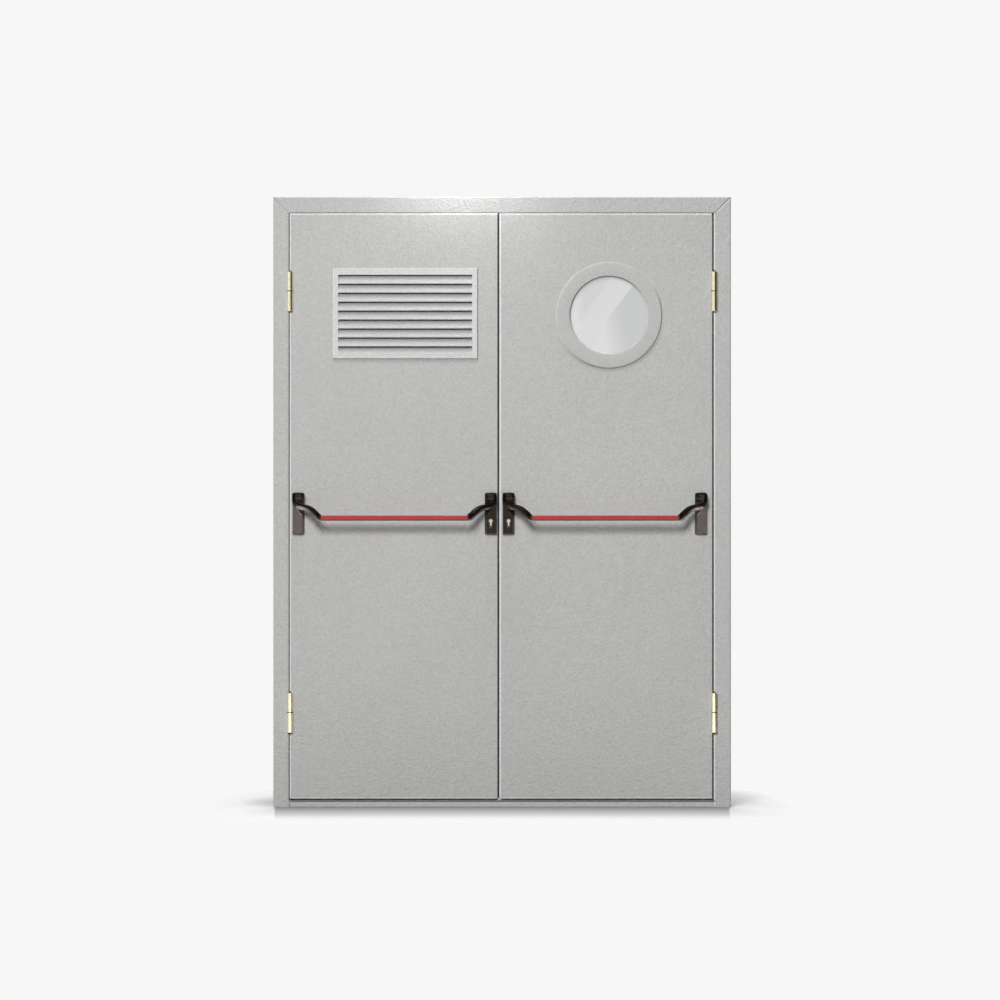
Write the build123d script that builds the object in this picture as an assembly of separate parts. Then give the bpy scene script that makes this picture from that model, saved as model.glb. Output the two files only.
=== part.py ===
from build123d import *
import math
import os

# Two-leaf steel fire exit door, closed, in millimetres.
# X runs to the right along the wall, Y goes back through the doorway and Z is up.
# The origin is on the floor, at the middle of the threshold's underside.

# Frame
DOOR_WIDTH = 1575.0
DOOR_HEIGHT = 2100.0
FRAME_DEPTH = 100.0
FACE_WIDTH = 55.0
FRAME_SHEET = 2.0
FRAME_BEND = 1.5
OUTER_HEM = 14.0
STOP_WIDTH = 22.0
REAR_RETURN = 22.0
MITRE_GAP = 0.5
THRESHOLD_HEIGHT = 23.5
THRESHOLD_CORNER = 2.0
THRESHOLD_END_GAP = 0.5
ANCHOR_HOLE_RADIUS = 5.25
ANCHOR_FROM_FLOOR = 250.0
ANCHOR_FROM_TOP = 200.0
ANCHOR_COUNT = 4

# Seal on the stops
SEAL_WIDTH = 12.0
SEAL_THICKNESS = 4.0
SEAL_ROUND = 1.5
SEAL_GAP = 5.0

# Leaves
LEAF_THICKNESS = 52.0
LEAF_SKIN = 1.5
LEAF_ROUND = 3.0
LEAF_SIDE_GAP = 5.0
LEAF_TOP_GAP = 5.0
LEAF_BOTTOM_GAP = 5.5
MEETING_GAP = 6.0
MEETING_X = -9.5
MEETING_BEVEL = 3.0
CORE_GAP = 0.2
MEETING_SEAL_WIDTH = 8.0
MEETING_SEAL_INSET = 5.0
MEETING_SEAL_ROOT = 4.0
MEETING_SEAL_SLIT = 0.7
MEETING_SEAL_ROUND = 1.0

# Hinges
HINGE_RADIUS = 10.0
HINGE_LENGTH = 137.0
HINGE_FROM_END = 325.0
HINGE_STAND_OFF = 1.0
HINGE_RING_RADIUS = 9.2
HINGE_RING_LENGTH = 5.0
HINGE_PIN_RADIUS = 5.0
HINGE_PIN_LENGTH = 52.0
HINGE_PIN_END_GAP = 2.0
HINGE_CHAMFER = 1.2
HINGE_SPLIT_GAP = 0.3
HINGE_FOOT_THICKNESS = 3.5
HINGE_FOOT_OFFSET = 5.5
HINGE_FOOT_OVERLAP = 1.0
RUNNING_GAP = 0.05

# Louvre grille in the left leaf, placed from the leaf's middle and the door's top
GRILLE_ASIDE = 36.0
GRILLE_DOWN = 245.0
GRILLE_WIDTH = 497.0
GRILLE_HEIGHT = 310.0
GRILLE_SIDE_BORDER = 18.0
GRILLE_TOP_BORDER = 22.5
GRILLE_FLANGE = 2.0
GRILLE_SLEEVE = 2.0
GRILLE_DEPTH = 21.0
GRILLE_ROUND = 1.2
BLADE_COUNT = 9
BLADE_PITCH = 30.8
BLADE_SHEET = 1.5
BLADE_LIP = 5.5
BLADE_RISE = 27.0
BLADE_RUN = 18.0
BLADE_BEND = 1.5
CUTOUT_GAP = 0.5

# How far a cut runs past the face that it opens
OVERCUT = 1.0

# Round window in the right leaf, placed from the leaf's middle and the door's top
WINDOW_ASIDE = 7.5
WINDOW_DOWN = 407.0
RING_RADIUS = 181.0
SIGHT_RADIUS = 136.0
RING_THICKNESS = 2.5
RING_ROUND = 1.2
COLLAR_WALL = 2.5
GLASS_RADIUS = 148.0
GLASS_THICKNESS = 10.0
GLAZING_SEAL_THICKNESS = 2.0
GLAZING_SEAL_INSET = 1.0

# Push bars
BAR_HEIGHT = 995.0
BAR_RADIUS = 9.0
BAR_WALL = 1.5
BAR_STAND_OFF = 100.0
BAR_SPIGOT = 30.0
PIVOT_RISE = 70.0
PIVOT_PIN_RADIUS = 4.0

# Lever covers, and how far in from its leaf's edge each one starts
UNIT_WIDTH = 42.0
UNIT_HEIGHT = 144.0
UNIT_TOP_CORNER = 6.0
UNIT_BOTTOM_CORNER = 3.0
LEFT_PIVOT_INSET = 5.5
LEFT_LATCH_INSET = 5.5
RIGHT_LATCH_INSET = 7.5
RIGHT_PIVOT_INSET = 22.5
COVER_PLATE = 4.0
COVER_DEPTH = 21.5
COVER_DRAFT = 8.0
COVER_TOP_DROP = 40.0
COVER_BEVEL = 1.0
CHUTE_FALL = 46.0
CHUTE_RADIUS = 36.0
CHUTE_FLOOR = -1.0

# Lever drum, the dish in its front and its bearing lug
HUB_RADIUS = 18.0
HUB_ROUND = 5.0
HUB_ROUND_STEPS = 4
HUB_PLATE_GAP = 1.5
DISH_RADIUS = 15.0
DISH_DEPTH = 6.0
DISH_DROP = 3.0
LUG_WIDTH = 14.0
LUG_RADIUS = 8.5
LUG_NECK = 10.0
LUG_SIDE_GAP = 0.5
LUG_ROUND_GAP = 1.0

# Lever arm, station by station: in from the unit's outer edge, down from its top, out from the
# leaf, then the section's turn in degrees, its width and its thickness
ARM_STATIONS = [
    (5.5, 7.0, 33.0, 0.0, 10.0, 8.0),
    (5.5, 16.0, 36.5, 0.0, 11.0, 9.0),
    (6.0, 26.0, 40.5, 0.0, 12.0, 10.0),
    (9.0, 37.0, 44.0, 4.0, 15.0, 11.0),
    (18.0, 46.0, 47.0, 12.0, 18.0, 11.0),
    (32.0, 51.0, 52.5, 25.0, 19.0, 12.0),
    (46.0, 54.5, 59.5, 38.0, 19.0, 13.0),
    (60.0, 60.5, 68.5, 52.0, 18.0, 14.0),
    (73.0, 69.5, 78.5, 66.0, 17.0, 15.0),
    (85.0, 79.0, 88.5, 78.0, 16.0, 16.0),
    (99.0, 91.0, 101.0, 90.0, 16.0, 16.0),
]
ARM_REACH = 96.0
ARM_END_DROP = 7.5

# Key cylinders
KEY_BELOW_BAR = 10.0
KEY_RADIUS = 8.5
KEY_BODY_WIDTH = 10.0
KEY_BODY_DROP = 24.5
KEY_PROUD = 2.5
KEY_HOLE_GAP = 0.4
KEYWAY_WIDTH = 1.6
KEYWAY_HEIGHT = 8.0
KEYWAY_DEPTH = 9.0
ROSETTE_WIDTH = 34.0
ROSETTE_HEIGHT = 72.0
ROSETTE_THICKNESS = 5.0
ROSETTE_BEVEL = 1.5

# Lock forends
FOREND_LENGTH = 235.0
FOREND_WIDTH = 22.0
FOREND_THICKNESS = 3.0

# Places that follow from the sizes above
FRONT_Y = -FRAME_DEPTH / 2
BACK_Y = FRAME_DEPTH / 2
SIDE_X = DOOR_WIDTH / 2
LEAF_BACK_Y = FRONT_Y + LEAF_THICKNESS
LEAF_MIDDLE_Y = FRONT_Y + LEAF_THICKNESS / 2
STOP_Y = LEAF_BACK_Y + SEAL_GAP + SEAL_THICKNESS
REBATE_X = SIDE_X - FACE_WIDTH
LEAF_SIDE_X = REBATE_X - LEAF_SIDE_GAP
LEAF_TOP = DOOR_HEIGHT - FACE_WIDTH - LEAF_TOP_GAP
LEAF_BOTTOM = THRESHOLD_HEIGHT + LEAF_BOTTOM_GAP
HINGE_X = (REBATE_X + LEAF_SIDE_X) / 2
HINGE_Y = FRONT_Y - HINGE_RADIUS - HINGE_STAND_OFF
PIVOT_Y = FRONT_Y - COVER_PLATE - HUB_PLATE_GAP - HUB_RADIUS
BAR_Y = FRONT_Y - BAR_STAND_OFF
COVER_FRONT_Y = FRONT_Y - COVER_DEPTH
MEETING_EDGE = {"left": MEETING_X - MEETING_GAP / 2, "right": MEETING_X + MEETING_GAP / 2}
SIDE_SIGN = {"left": -1, "right": 1}
HINGE_HEIGHTS = {"lower": HINGE_FROM_END, "upper": DOOR_HEIGHT - HINGE_FROM_END}
GRILLE_X = (MEETING_EDGE["left"] - LEAF_SIDE_X) / 2 + GRILLE_ASIDE
GRILLE_TOP = DOOR_HEIGHT - GRILLE_DOWN
WINDOW_X = (MEETING_EDGE["right"] + LEAF_SIDE_X) / 2 + WINDOW_ASIDE
WINDOW_Z = DOOR_HEIGHT - WINDOW_DOWN
PIVOT_HEIGHT = BAR_HEIGHT + PIVOT_RISE
UNIT_TOP = PIVOT_HEIGHT + HUB_RADIUS
UNIT_BOTTOM = UNIT_TOP - UNIT_HEIGHT
KEY_HEIGHT = BAR_HEIGHT - KEY_BELOW_BAR

# Each unit's outer edge and the way that its lever reaches
UNIT_EDGES = {
    "left_pivot": (-LEAF_SIDE_X + LEFT_PIVOT_INSET, 1),
    "left_latch": (MEETING_EDGE["left"] - LEFT_LATCH_INSET, -1),
    "right_latch": (MEETING_EDGE["right"] + RIGHT_LATCH_INSET, 1),
    "right_pivot": (LEAF_SIDE_X - RIGHT_PIVOT_INSET, -1),
}


def save(part, name):
    part.label = name
    export_step(part, f"parts/{name}.step")


def shifted(line, distance):
    """The corner points of an open line of bends, moved to its left by a distance."""
    points = [Vector(*p) for p in line]
    normals = []
    for a, b in zip(points, points[1:]):
        along = (b - a).normalized()
        normals.append(Vector(-along.Y, along.X))
    moved = [points[0] + normals[0] * distance]
    for point, n1, n2 in zip(points[1:], normals, normals[1:]):
        moved.append(point + (n1 + n2) * (distance / (1 + n1.dot(n2))))
    moved.append(points[-1] + normals[-1] * distance)
    return moved


def bent_sheet(line, thickness, bend):
    """The section of a bent sheet: its seen side follows the line and its metal lies to the left."""
    points = [Vector(*p) for p in line]
    seen_radii = []
    back_radii = []
    for a, b, c in zip(points, points[1:], points[2:]):
        turns_left = (b - a).cross(c - b).Z > 0
        seen_radii.append(bend + thickness if turns_left else bend)
        back_radii.append(bend if turns_left else bend + thickness)
    seen = FilletPolyline(*points, radius=seen_radii)
    back = FilletPolyline(*shifted(line, thickness), radius=back_radii)
    ends = [Line(seen @ 0, back @ 0), Line(seen @ 1, back @ 1)]
    return make_face([*seen.edges(), *back.edges(), *ends])


def mirrored(part):
    return mirror(part, about=Plane.YZ)


def block(x1, x2, y1, y2, z1, z2):
    centre = Location(((x1 + x2) / 2, (y1 + y2) / 2, (z1 + z2) / 2))
    return centre * Box(abs(x2 - x1), abs(y2 - y1), abs(z2 - z1))


def front_drawing(y):
    """A plane seen from the front, with its sketches in X and Z, that extrudes backwards."""
    return Plane(origin=(0, y, 0), x_dir=(1, 0, 0), z_dir=(0, -1, 0))


# Frame


def frame_section():
    """From the outer hem over the face, the rebate, the stop and the reveal to the rear return."""
    inner = FACE_WIDTH + STOP_WIDTH
    line = [
        (0, FRONT_Y + OUTER_HEM),
        (0, FRONT_Y),
        (FACE_WIDTH, FRONT_Y),
        (FACE_WIDTH, STOP_Y),
        (inner, STOP_Y),
        (inner, BACK_Y),
        (inner - REAR_RETURN, BACK_Y),
    ]
    return bent_sheet(line, FRAME_SHEET, FRAME_BEND)


def mitre(side_sign, towards_head):
    """The cutting plane of a top corner, half the mitre gap from its middle."""
    out = Vector(-side_sign, 0, 1).normalized()
    corner = Vector(side_sign * SIDE_X, 0, DOOR_HEIGHT)
    offset = MITRE_GAP / 2 if towards_head else -MITRE_GAP / 2
    return Plane(origin=corner + out * offset, z_dir=out)


def left_jamb():
    jamb = Location((-SIDE_X, 0, 0)) * extrude(frame_section(), DOOR_HEIGHT)
    jamb = split(jamb, bisect_by=mitre(-1, False), keep=Keep.BOTTOM)
    hole = Rotation(0, 90, 0) * Cylinder(ANCHOR_HOLE_RADIUS, 4 * FRAME_SHEET)
    spacing = (DOOR_HEIGHT - ANCHOR_FROM_FLOOR - ANCHOR_FROM_TOP) / (ANCHOR_COUNT - 1)
    for i in range(ANCHOR_COUNT):
        height = ANCHOR_FROM_FLOOR + i * spacing
        jamb -= Location((-REBATE_X, (FRONT_Y + STOP_Y) / 2, height)) * hole
    return jamb


def frame_head():
    drawing = Plane(origin=(-SIDE_X, 0, DOOR_HEIGHT), x_dir=(0, 0, -1), z_dir=(1, 0, 0))
    head = extrude(drawing * frame_section(), DOOR_WIDTH)
    for side_sign in (-1, 1):
        head = split(head, bisect_by=mitre(side_sign, True), keep=Keep.TOP)
    return head


def threshold():
    """A flat box section between the jambs, notched at its back ends for their stops."""
    outer = RectangleRounded(FRAME_DEPTH, THRESHOLD_HEIGHT, THRESHOLD_CORNER)
    inner = Rectangle(FRAME_DEPTH - 2 * FRAME_SHEET, THRESHOLD_HEIGHT - 2 * FRAME_SHEET)
    end_x = REBATE_X - THRESHOLD_END_GAP
    drawing = Plane(origin=(-end_x, 0, THRESHOLD_HEIGHT / 2), x_dir=(0, 1, 0), z_dir=(1, 0, 0))
    bar = extrude(drawing * (outer - inner), 2 * end_x)
    for sign in (-1, 1):
        stop_x = sign * (end_x - STOP_WIDTH)
        notch_y = STOP_Y - THRESHOLD_END_GAP
        bar -= block(stop_x, sign * SIDE_X, notch_y, BACK_Y, 0, THRESHOLD_HEIGHT)
    return bar


def frame_seal():
    """One strip down each stop and along the head's stop, with rounded front edges."""
    edge = (STOP_WIDTH - SEAL_WIDTH) / 2
    outer_x = REBATE_X - edge
    inner_x = outer_x - SEAL_WIDTH
    outer_top = DOOR_HEIGHT - FACE_WIDTH - edge
    y1 = STOP_Y - SEAL_THICKNESS
    strip = block(-outer_x, outer_x, y1, STOP_Y, THRESHOLD_HEIGHT, outer_top)
    strip -= block(-inner_x, inner_x, y1, STOP_Y, THRESHOLD_HEIGHT, outer_top - SEAL_WIDTH)
    front = strip.faces().sort_by(Axis.Y)[0]
    long_edges = front.edges().filter_by(lambda e: e.center().Z > THRESHOLD_HEIGHT + SEAL_ROUND)
    return fillet(long_edges, SEAL_ROUND)


# Hinges, drawn for the left side: a fixed half below and a leaf half above


def hinge_bottom(height):
    return height - HINGE_LENGTH / 2


def hinge_split(height):
    return height + HINGE_RING_LENGTH / 2


def hinge_foot(x1, z1, z2):
    """The strip that welds a barrel to the face behind it, hidden by the barrel."""
    foot = block(x1, x1 + HINGE_FOOT_THICKNESS, HINGE_Y, FRONT_Y, z1, z2)
    barrel_space = Cylinder(HINGE_RADIUS - HINGE_FOOT_OVERLAP, 2 * HINGE_LENGTH)
    return foot - Location((-HINGE_X, HINGE_Y, (z1 + z2) / 2)) * barrel_space


def hinge_frame_half(height):
    """The lower barrel, the bearing ring and the pin, turned in one piece, with its foot."""
    z0 = hinge_bottom(height)
    z_ring = hinge_split(height) - HINGE_RING_LENGTH
    z_top = hinge_split(height)
    z_pin = z_top + HINGE_PIN_LENGTH
    c = HINGE_CHAMFER
    outline = [
        (0, z0),
        (HINGE_RADIUS - c, z0),
        (HINGE_RADIUS, z0 + c),
        (HINGE_RADIUS, z_ring),
        (HINGE_RING_RADIUS, z_ring),
        (HINGE_RING_RADIUS, z_top),
        (HINGE_PIN_RADIUS, z_top),
        (HINGE_PIN_RADIUS, z_pin),
        (0, z_pin),
    ]
    turned = revolve(Plane.XZ * make_face(Polyline(*outline, close=True)), Axis.Z)
    foot = hinge_foot(-HINGE_X - HINGE_FOOT_OFFSET - HINGE_FOOT_THICKNESS, z0 + c, z_ring)
    return Location((-HINGE_X, HINGE_Y, 0)) * turned + foot


def hinge_leaf_half(height):
    """The upper barrel, with a blind bore that runs on the pin."""
    z0 = hinge_split(height) + HINGE_SPLIT_GAP
    z_bore = hinge_split(height) + HINGE_PIN_LENGTH + HINGE_PIN_END_GAP
    z_top = height + HINGE_LENGTH / 2
    bore = HINGE_PIN_RADIUS + RUNNING_GAP
    c = HINGE_CHAMFER
    outline = [
        (bore, z0),
        (HINGE_RADIUS, z0),
        (HINGE_RADIUS, z_top - c),
        (HINGE_RADIUS - c, z_top),
        (0, z_top),
        (0, z_bore),
        (bore, z_bore),
    ]
    turned = revolve(Plane.XZ * make_face(Polyline(*outline, close=True)), Axis.Z)
    foot = hinge_foot(-HINGE_X + HINGE_FOOT_OFFSET, z0, z_top - c)
    return Location((-HINGE_X, HINGE_Y, 0)) * turned + foot


# Leaves


def leaf_blank(side, inset):
    """The leaf's whole form less an inset on every side, with rounded edges round both faces."""
    sign = SIDE_SIGN[side]
    hinge_x = sign * (LEAF_SIDE_X - inset)
    front_x = MEETING_EDGE[side] + sign * inset
    back_x = front_x + sign * MEETING_BEVEL
    y1 = FRONT_Y + inset
    y2 = LEAF_BACK_Y - inset
    z1 = LEAF_BOTTOM + inset
    z2 = LEAF_TOP - inset
    plan = make_face(Polyline((hinge_x, y1), (front_x, y1), (back_x, y2), (hinge_x, y2), close=True))
    blank = Location((0, 0, z1)) * extrude(plan, z2 - z1)
    faces = [blank.faces().sort_by(Axis.Y)[0], blank.faces().sort_by(Axis.Y)[-1]]
    edges = [edge for face in faces for edge in face.edges()]
    return fillet(edges, LEAF_ROUND - inset)


def key_profile(gap):
    """The cylinder's outline about its round end: a circle and a round-ended slot below it."""
    radius = KEY_BODY_WIDTH / 2 + gap
    straight = KEY_BODY_DROP - KEY_BODY_WIDTH / 2
    slot = Location((0, -straight / 2)) * Rectangle(2 * radius, straight)
    end = Location((0, -straight)) * Circle(radius)
    return Circle(KEY_RADIUS + gap) + slot + end


def key_x(side):
    edge, reach = UNIT_EDGES[f"{side}_latch"]
    return edge + reach * UNIT_WIDTH / 2


def key_solid(side, gap, y1, y2):
    drawing = Plane(origin=(key_x(side), y2, KEY_HEIGHT), x_dir=(1, 0, 0), z_dir=(0, -1, 0))
    return extrude(drawing * key_profile(gap), y2 - y1)


def forend_space(side):
    """Where the lock's face plate sits in the meeting edge."""
    sign = SIDE_SIGN[side]
    edge = MEETING_EDGE[side] + sign * MEETING_BEVEL / 2
    depth = FOREND_THICKNESS + MEETING_BEVEL
    y1 = LEAF_MIDDLE_Y - FOREND_WIDTH / 2
    y2 = LEAF_MIDDLE_Y + FOREND_WIDTH / 2
    z1 = BAR_HEIGHT - FOREND_LENGTH / 2
    z2 = BAR_HEIGHT + FOREND_LENGTH / 2
    return block(edge - sign * depth, edge + sign * FOREND_THICKNESS, y1, y2, z1, z2)


def meeting_seal(side, clearance=0):
    """The rubber strip in a groove of the meeting edge that reaches almost to the other leaf's."""
    sign = SIDE_SIGN[side]
    tip = MEETING_X + sign * (MEETING_SEAL_SLIT / 2 - clearance)
    root = MEETING_EDGE[side] + sign * (MEETING_SEAL_ROOT + clearance)
    y1 = FRONT_Y + MEETING_SEAL_INSET - clearance
    y2 = y1 + MEETING_SEAL_WIDTH + 2 * clearance
    margin = LEAF_ROUND + LEAF_SKIN - clearance
    strip = block(tip, root, y1, y2, LEAF_BOTTOM + margin, LEAF_TOP - margin)
    tip_face = strip.faces().sort_by(Axis.X)[-1 if side == "left" else 0]
    return fillet(tip_face.edges().filter_by(Axis.Z), MEETING_SEAL_ROUND)


def grille_space(extra):
    """The grille's clear opening, made larger all round, right through the leaf."""
    x1 = GRILLE_X - GRILLE_WIDTH / 2 + GRILLE_SIDE_BORDER - extra
    x2 = GRILLE_X + GRILLE_WIDTH / 2 - GRILLE_SIDE_BORDER + extra
    z2 = GRILLE_TOP - GRILLE_TOP_BORDER + extra
    z1 = GRILLE_TOP - GRILLE_TOP_BORDER - BLADE_COUNT * BLADE_PITCH - extra
    return block(x1, x2, FRONT_Y - GRILLE_FLANGE, LEAF_BACK_Y + GRILLE_FLANGE, z1, z2)


def window_space(radius):
    """A round hole right through the leaf."""
    hole = Rotation(90, 0, 0) * Cylinder(radius, 2 * LEAF_THICKNESS)
    return Location((WINDOW_X, LEAF_MIDDLE_Y, WINDOW_Z)) * hole


def leaf_openings(side, in_core):
    """Everything that is cut through a leaf's skins, or through its core."""
    cuts = key_solid(side, KEY_HOLE_GAP, FRONT_Y - OVERCUT, LEAF_BACK_Y + OVERCUT)
    cuts += forend_space(side)
    cuts += meeting_seal(side, CORE_GAP)
    if side == "left":
        return cuts + grille_space(GRILLE_SLEEVE + CUTOUT_GAP)
    radius = GLASS_RADIUS if in_core else SIGHT_RADIUS + COLLAR_WALL
    return cuts + window_space(radius + CUTOUT_GAP)


def leaf_skin(side, front):
    shell = leaf_blank(side, 0) - leaf_blank(side, LEAF_SKIN)
    middle = Plane(origin=(0, LEAF_MIDDLE_Y, 0), z_dir=(0, -1, 0))
    half = split(shell, bisect_by=middle, keep=Keep.TOP if front else Keep.BOTTOM)
    return half - leaf_openings(side, False)


def leaf_core(side):
    return leaf_blank(side, LEAF_SKIN + CORE_GAP) - leaf_openings(side, True)


def forend(side):
    return leaf_blank(side, 0) & forend_space(side)


# Grille


def grille_frame():
    """A flat flange over the leaf's face with a sleeve round the blades, for the front."""
    left = GRILLE_X - GRILLE_WIDTH / 2
    bottom = GRILLE_TOP - GRILLE_HEIGHT
    flange = block(left, left + GRILLE_WIDTH, FRONT_Y - GRILLE_FLANGE, FRONT_Y, bottom, GRILLE_TOP)
    front = flange.faces().sort_by(Axis.Y)[0]
    flange = fillet(front.edges(), GRILLE_ROUND)
    sleeve = grille_space(GRILLE_SLEEVE) & block(
        -SIDE_X, SIDE_X, FRONT_Y, FRONT_Y + GRILLE_DEPTH, 0, DOOR_HEIGHT
    )
    return flange + sleeve - grille_space(0)


def grille_blades():
    """Pressed blades that slope up and back behind a short upright lip, for the front."""
    lip_y = FRONT_Y - GRILLE_FLANGE
    line = [
        (lip_y, 0),
        (lip_y, BLADE_LIP),
        (lip_y + BLADE_RUN, BLADE_RISE + BLADE_LIP),
    ]
    section = bent_sheet([(y, z) for y, z in reversed(line)], BLADE_SHEET, BLADE_BEND)
    length = GRILLE_WIDTH - 2 * GRILLE_SIDE_BORDER
    drawing = Plane(origin=(GRILLE_X - length / 2, 0, 0), x_dir=(0, 1, 0), z_dir=(1, 0, 0))
    blade = extrude(drawing * section, length)
    blades = []
    top = GRILLE_TOP - GRILLE_TOP_BORDER
    for i in range(BLADE_COUNT):
        blades.append(Location((0, 0, top - (i + 1) * BLADE_PITCH)) * blade)
    return Compound(children=blades) & grille_space(0)


def on_back(part):
    """The same piece turned about the leaf's middle plane, for the leaf's other face."""
    return mirror(part, about=Plane(origin=(0, LEAF_MIDDLE_Y, 0), z_dir=(0, 1, 0)))


# Round window


def window_turned(outline):
    """A ring about the window's axis from an outline in radius and depth."""
    drawing = Plane(origin=(WINDOW_X, 0, WINDOW_Z), x_dir=(1, 0, 0), z_dir=(0, 0, 1))
    face = drawing * make_face(Polyline(*outline, close=True))
    axis = Axis((WINDOW_X, 0, WINDOW_Z), (0, 1, 0))
    return revolve(face, axis)


def window_ring():
    """A flat ring on the leaf's face with a collar that reaches to the glazing seal."""
    y_front = FRONT_Y - RING_THICKNESS
    y_end = LEAF_MIDDLE_Y - GLASS_THICKNESS / 2 - GLAZING_SEAL_THICKNESS
    c = RING_ROUND
    outline = [
        (SIGHT_RADIUS, y_front + c),
        (SIGHT_RADIUS + c, y_front),
        (RING_RADIUS - c, y_front),
        (RING_RADIUS, y_front + c),
        (RING_RADIUS, FRONT_Y),
        (SIGHT_RADIUS + COLLAR_WALL, FRONT_Y),
        (SIGHT_RADIUS + COLLAR_WALL, y_end),
        (SIGHT_RADIUS, y_end),
    ]
    return window_turned(outline)


def window_glass():
    y1 = LEAF_MIDDLE_Y - GLASS_THICKNESS / 2
    y2 = LEAF_MIDDLE_Y + GLASS_THICKNESS / 2
    return window_turned([(0, y1), (GLASS_RADIUS, y1), (GLASS_RADIUS, y2), (0, y2)])


def window_seal():
    """The two glazing rings that hold the glass between the collars."""
    y2 = LEAF_MIDDLE_Y - GLASS_THICKNESS / 2
    y1 = y2 - GLAZING_SEAL_THICKNESS
    r1 = SIGHT_RADIUS + GLAZING_SEAL_INSET
    ring = window_turned([(r1, y1), (GLASS_RADIUS, y1), (GLASS_RADIUS, y2), (r1, y2)])
    return Compound(children=[ring, on_back(ring)])


# Lever covers, drawn about their outer edge with the lever reaching towards +X


def cover_outline():
    """The whole outline of a unit on the leaf, from the front."""
    w = UNIT_WIDTH
    points = [(0, UNIT_BOTTOM), (w, UNIT_BOTTOM), (w, UNIT_TOP), (0, UNIT_TOP)]
    radii = [UNIT_BOTTOM_CORNER, UNIT_BOTTOM_CORNER, UNIT_TOP_CORNER, UNIT_TOP_CORNER]
    return make_face(FilletPolyline(*points, radius=radii, close=True))


def cover_body():
    """The lower block, its sides drafted, with a hollow chute where the lever comes in."""
    top = UNIT_TOP - COVER_TOP_DROP
    middle = (UNIT_BOTTOM + top) / 2
    outline = Pos(UNIT_WIDTH / 2, middle) * Rectangle(UNIT_WIDTH, top - UNIT_BOTTOM)
    outline = fillet(outline.vertices().sort_by(Axis.Y)[:2], UNIT_BOTTOM_CORNER)
    body = extrude(front_drawing(FRONT_Y) * outline, COVER_DEPTH, taper=COVER_DRAFT)
    body = chamfer(body.faces().sort_by(Axis.Y)[0].edges(), COVER_BEVEL)
    rim = Vector(UNIT_WIDTH, 0, -CHUTE_FALL)
    rim_middle = Vector(0, COVER_FRONT_Y, top) + rim / 2
    uphill = Vector(CHUTE_FALL, 0, UNIT_WIDTH).normalized()
    in_front = CHUTE_RADIUS - (COVER_DEPTH - COVER_PLATE - CHUTE_FLOOR)
    aside = math.sqrt(CHUTE_RADIUS**2 - in_front**2)
    axis_point = rim_middle + uphill * aside + Vector(0, -in_front, 0)
    chute = Cylinder(CHUTE_RADIUS, 4 * rim.length)
    return body - Plane(origin=axis_point, z_dir=rim.normalized()) * chute


def bearing_lug():
    """The fixed lug in the middle of the drum, bored for the pivot pin."""
    pivot = Location((UNIT_WIDTH / 2, PIVOT_Y, PIVOT_HEIGHT))
    turn = Rotation(0, 90, 0)
    half = LUG_WIDTH / 2
    root = FRONT_Y - COVER_PLATE / 2 - PIVOT_Y
    neck = block(-half, half, 0, root, -LUG_NECK / 2, LUG_NECK / 2)
    bore = turn * Cylinder(PIVOT_PIN_RADIUS + RUNNING_GAP, 2 * LUG_WIDTH)
    return pivot * (turn * Cylinder(LUG_RADIUS, LUG_WIDTH) + neck - bore)


def lever_cover():
    plate = extrude(front_drawing(FRONT_Y) * cover_outline(), COVER_PLATE)
    return plate + cover_body() + bearing_lug()


def lever_drum():
    """A drum across the top of the unit, about the pivot, its two edges rounded in steps."""
    half = UNIT_WIDTH / 2
    corner = [math.pi / 2 * i / HUB_ROUND_STEPS for i in range(HUB_ROUND_STEPS + 1)]
    inner = HUB_RADIUS - HUB_ROUND
    edge = [(inner + HUB_ROUND * math.sin(a), HUB_ROUND * math.cos(a) - HUB_ROUND) for a in corner]
    profile = [(r, half + z) for r, z in edge] + [(r, -half - z) for r, z in reversed(edge)]
    drawing = make_face(Polyline((0, half), *profile, (0, -half), close=True))
    return Rotation(0, 90, 0) * revolve(Plane.XZ * drawing, Axis.Z)


def lug_space():
    """What the drum leaves free round the bearing lug: a round cavity, open at the back."""
    width = LUG_WIDTH + 2 * LUG_SIDE_GAP
    cavity = Rotation(0, 90, 0) * Cylinder(LUG_RADIUS + LUG_ROUND_GAP, width)
    reach = 2 * HUB_RADIUS
    return cavity + block(-width / 2, width / 2, 0, reach, -reach, reach)


def dish():
    """The round hollow low in the front of the drum."""
    return Location((0, DISH_DEPTH - HUB_RADIUS - DISH_RADIUS, -DISH_DROP)) * Sphere(DISH_RADIUS)


def arm_section(centre, along, turn, width, thickness):
    """The arm's section at one station, square to its way and turned about it."""
    outward = Vector(0, -1, 0)
    outward = (outward - along * outward.dot(along)).normalized()
    upward = outward.cross(along)
    across = upward * math.cos(math.radians(turn)) + outward * math.sin(math.radians(turn))
    plane = Plane(origin=centre, x_dir=across, z_dir=along)
    return plane * Rectangle(width, thickness)


def lever_arm():
    """The strap that peels off the drum's outer side, sweeps under the dish and out to the bar."""
    points = [Vector(s[0], FRONT_Y - s[2], UNIT_TOP - s[1]) for s in ARM_STATIONS]
    way = Spline(points)
    sections = []
    for point, (_, _, _, turn, width, thickness) in zip(points, ARM_STATIONS):
        along = way.tangent_at(way.param_at_point(point))
        sections.append(arm_section(point, along, turn, width, thickness))
    arm = loft(sections, ruled=True)
    low = BAR_HEIGHT - ARM_END_DROP
    arm -= block(ARM_REACH, 2 * ARM_REACH, 2 * BAR_Y, 0, 0, UNIT_TOP)
    return arm - block(-UNIT_WIDTH, 2 * ARM_REACH, 2 * BAR_Y, 0, 0, low)


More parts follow.
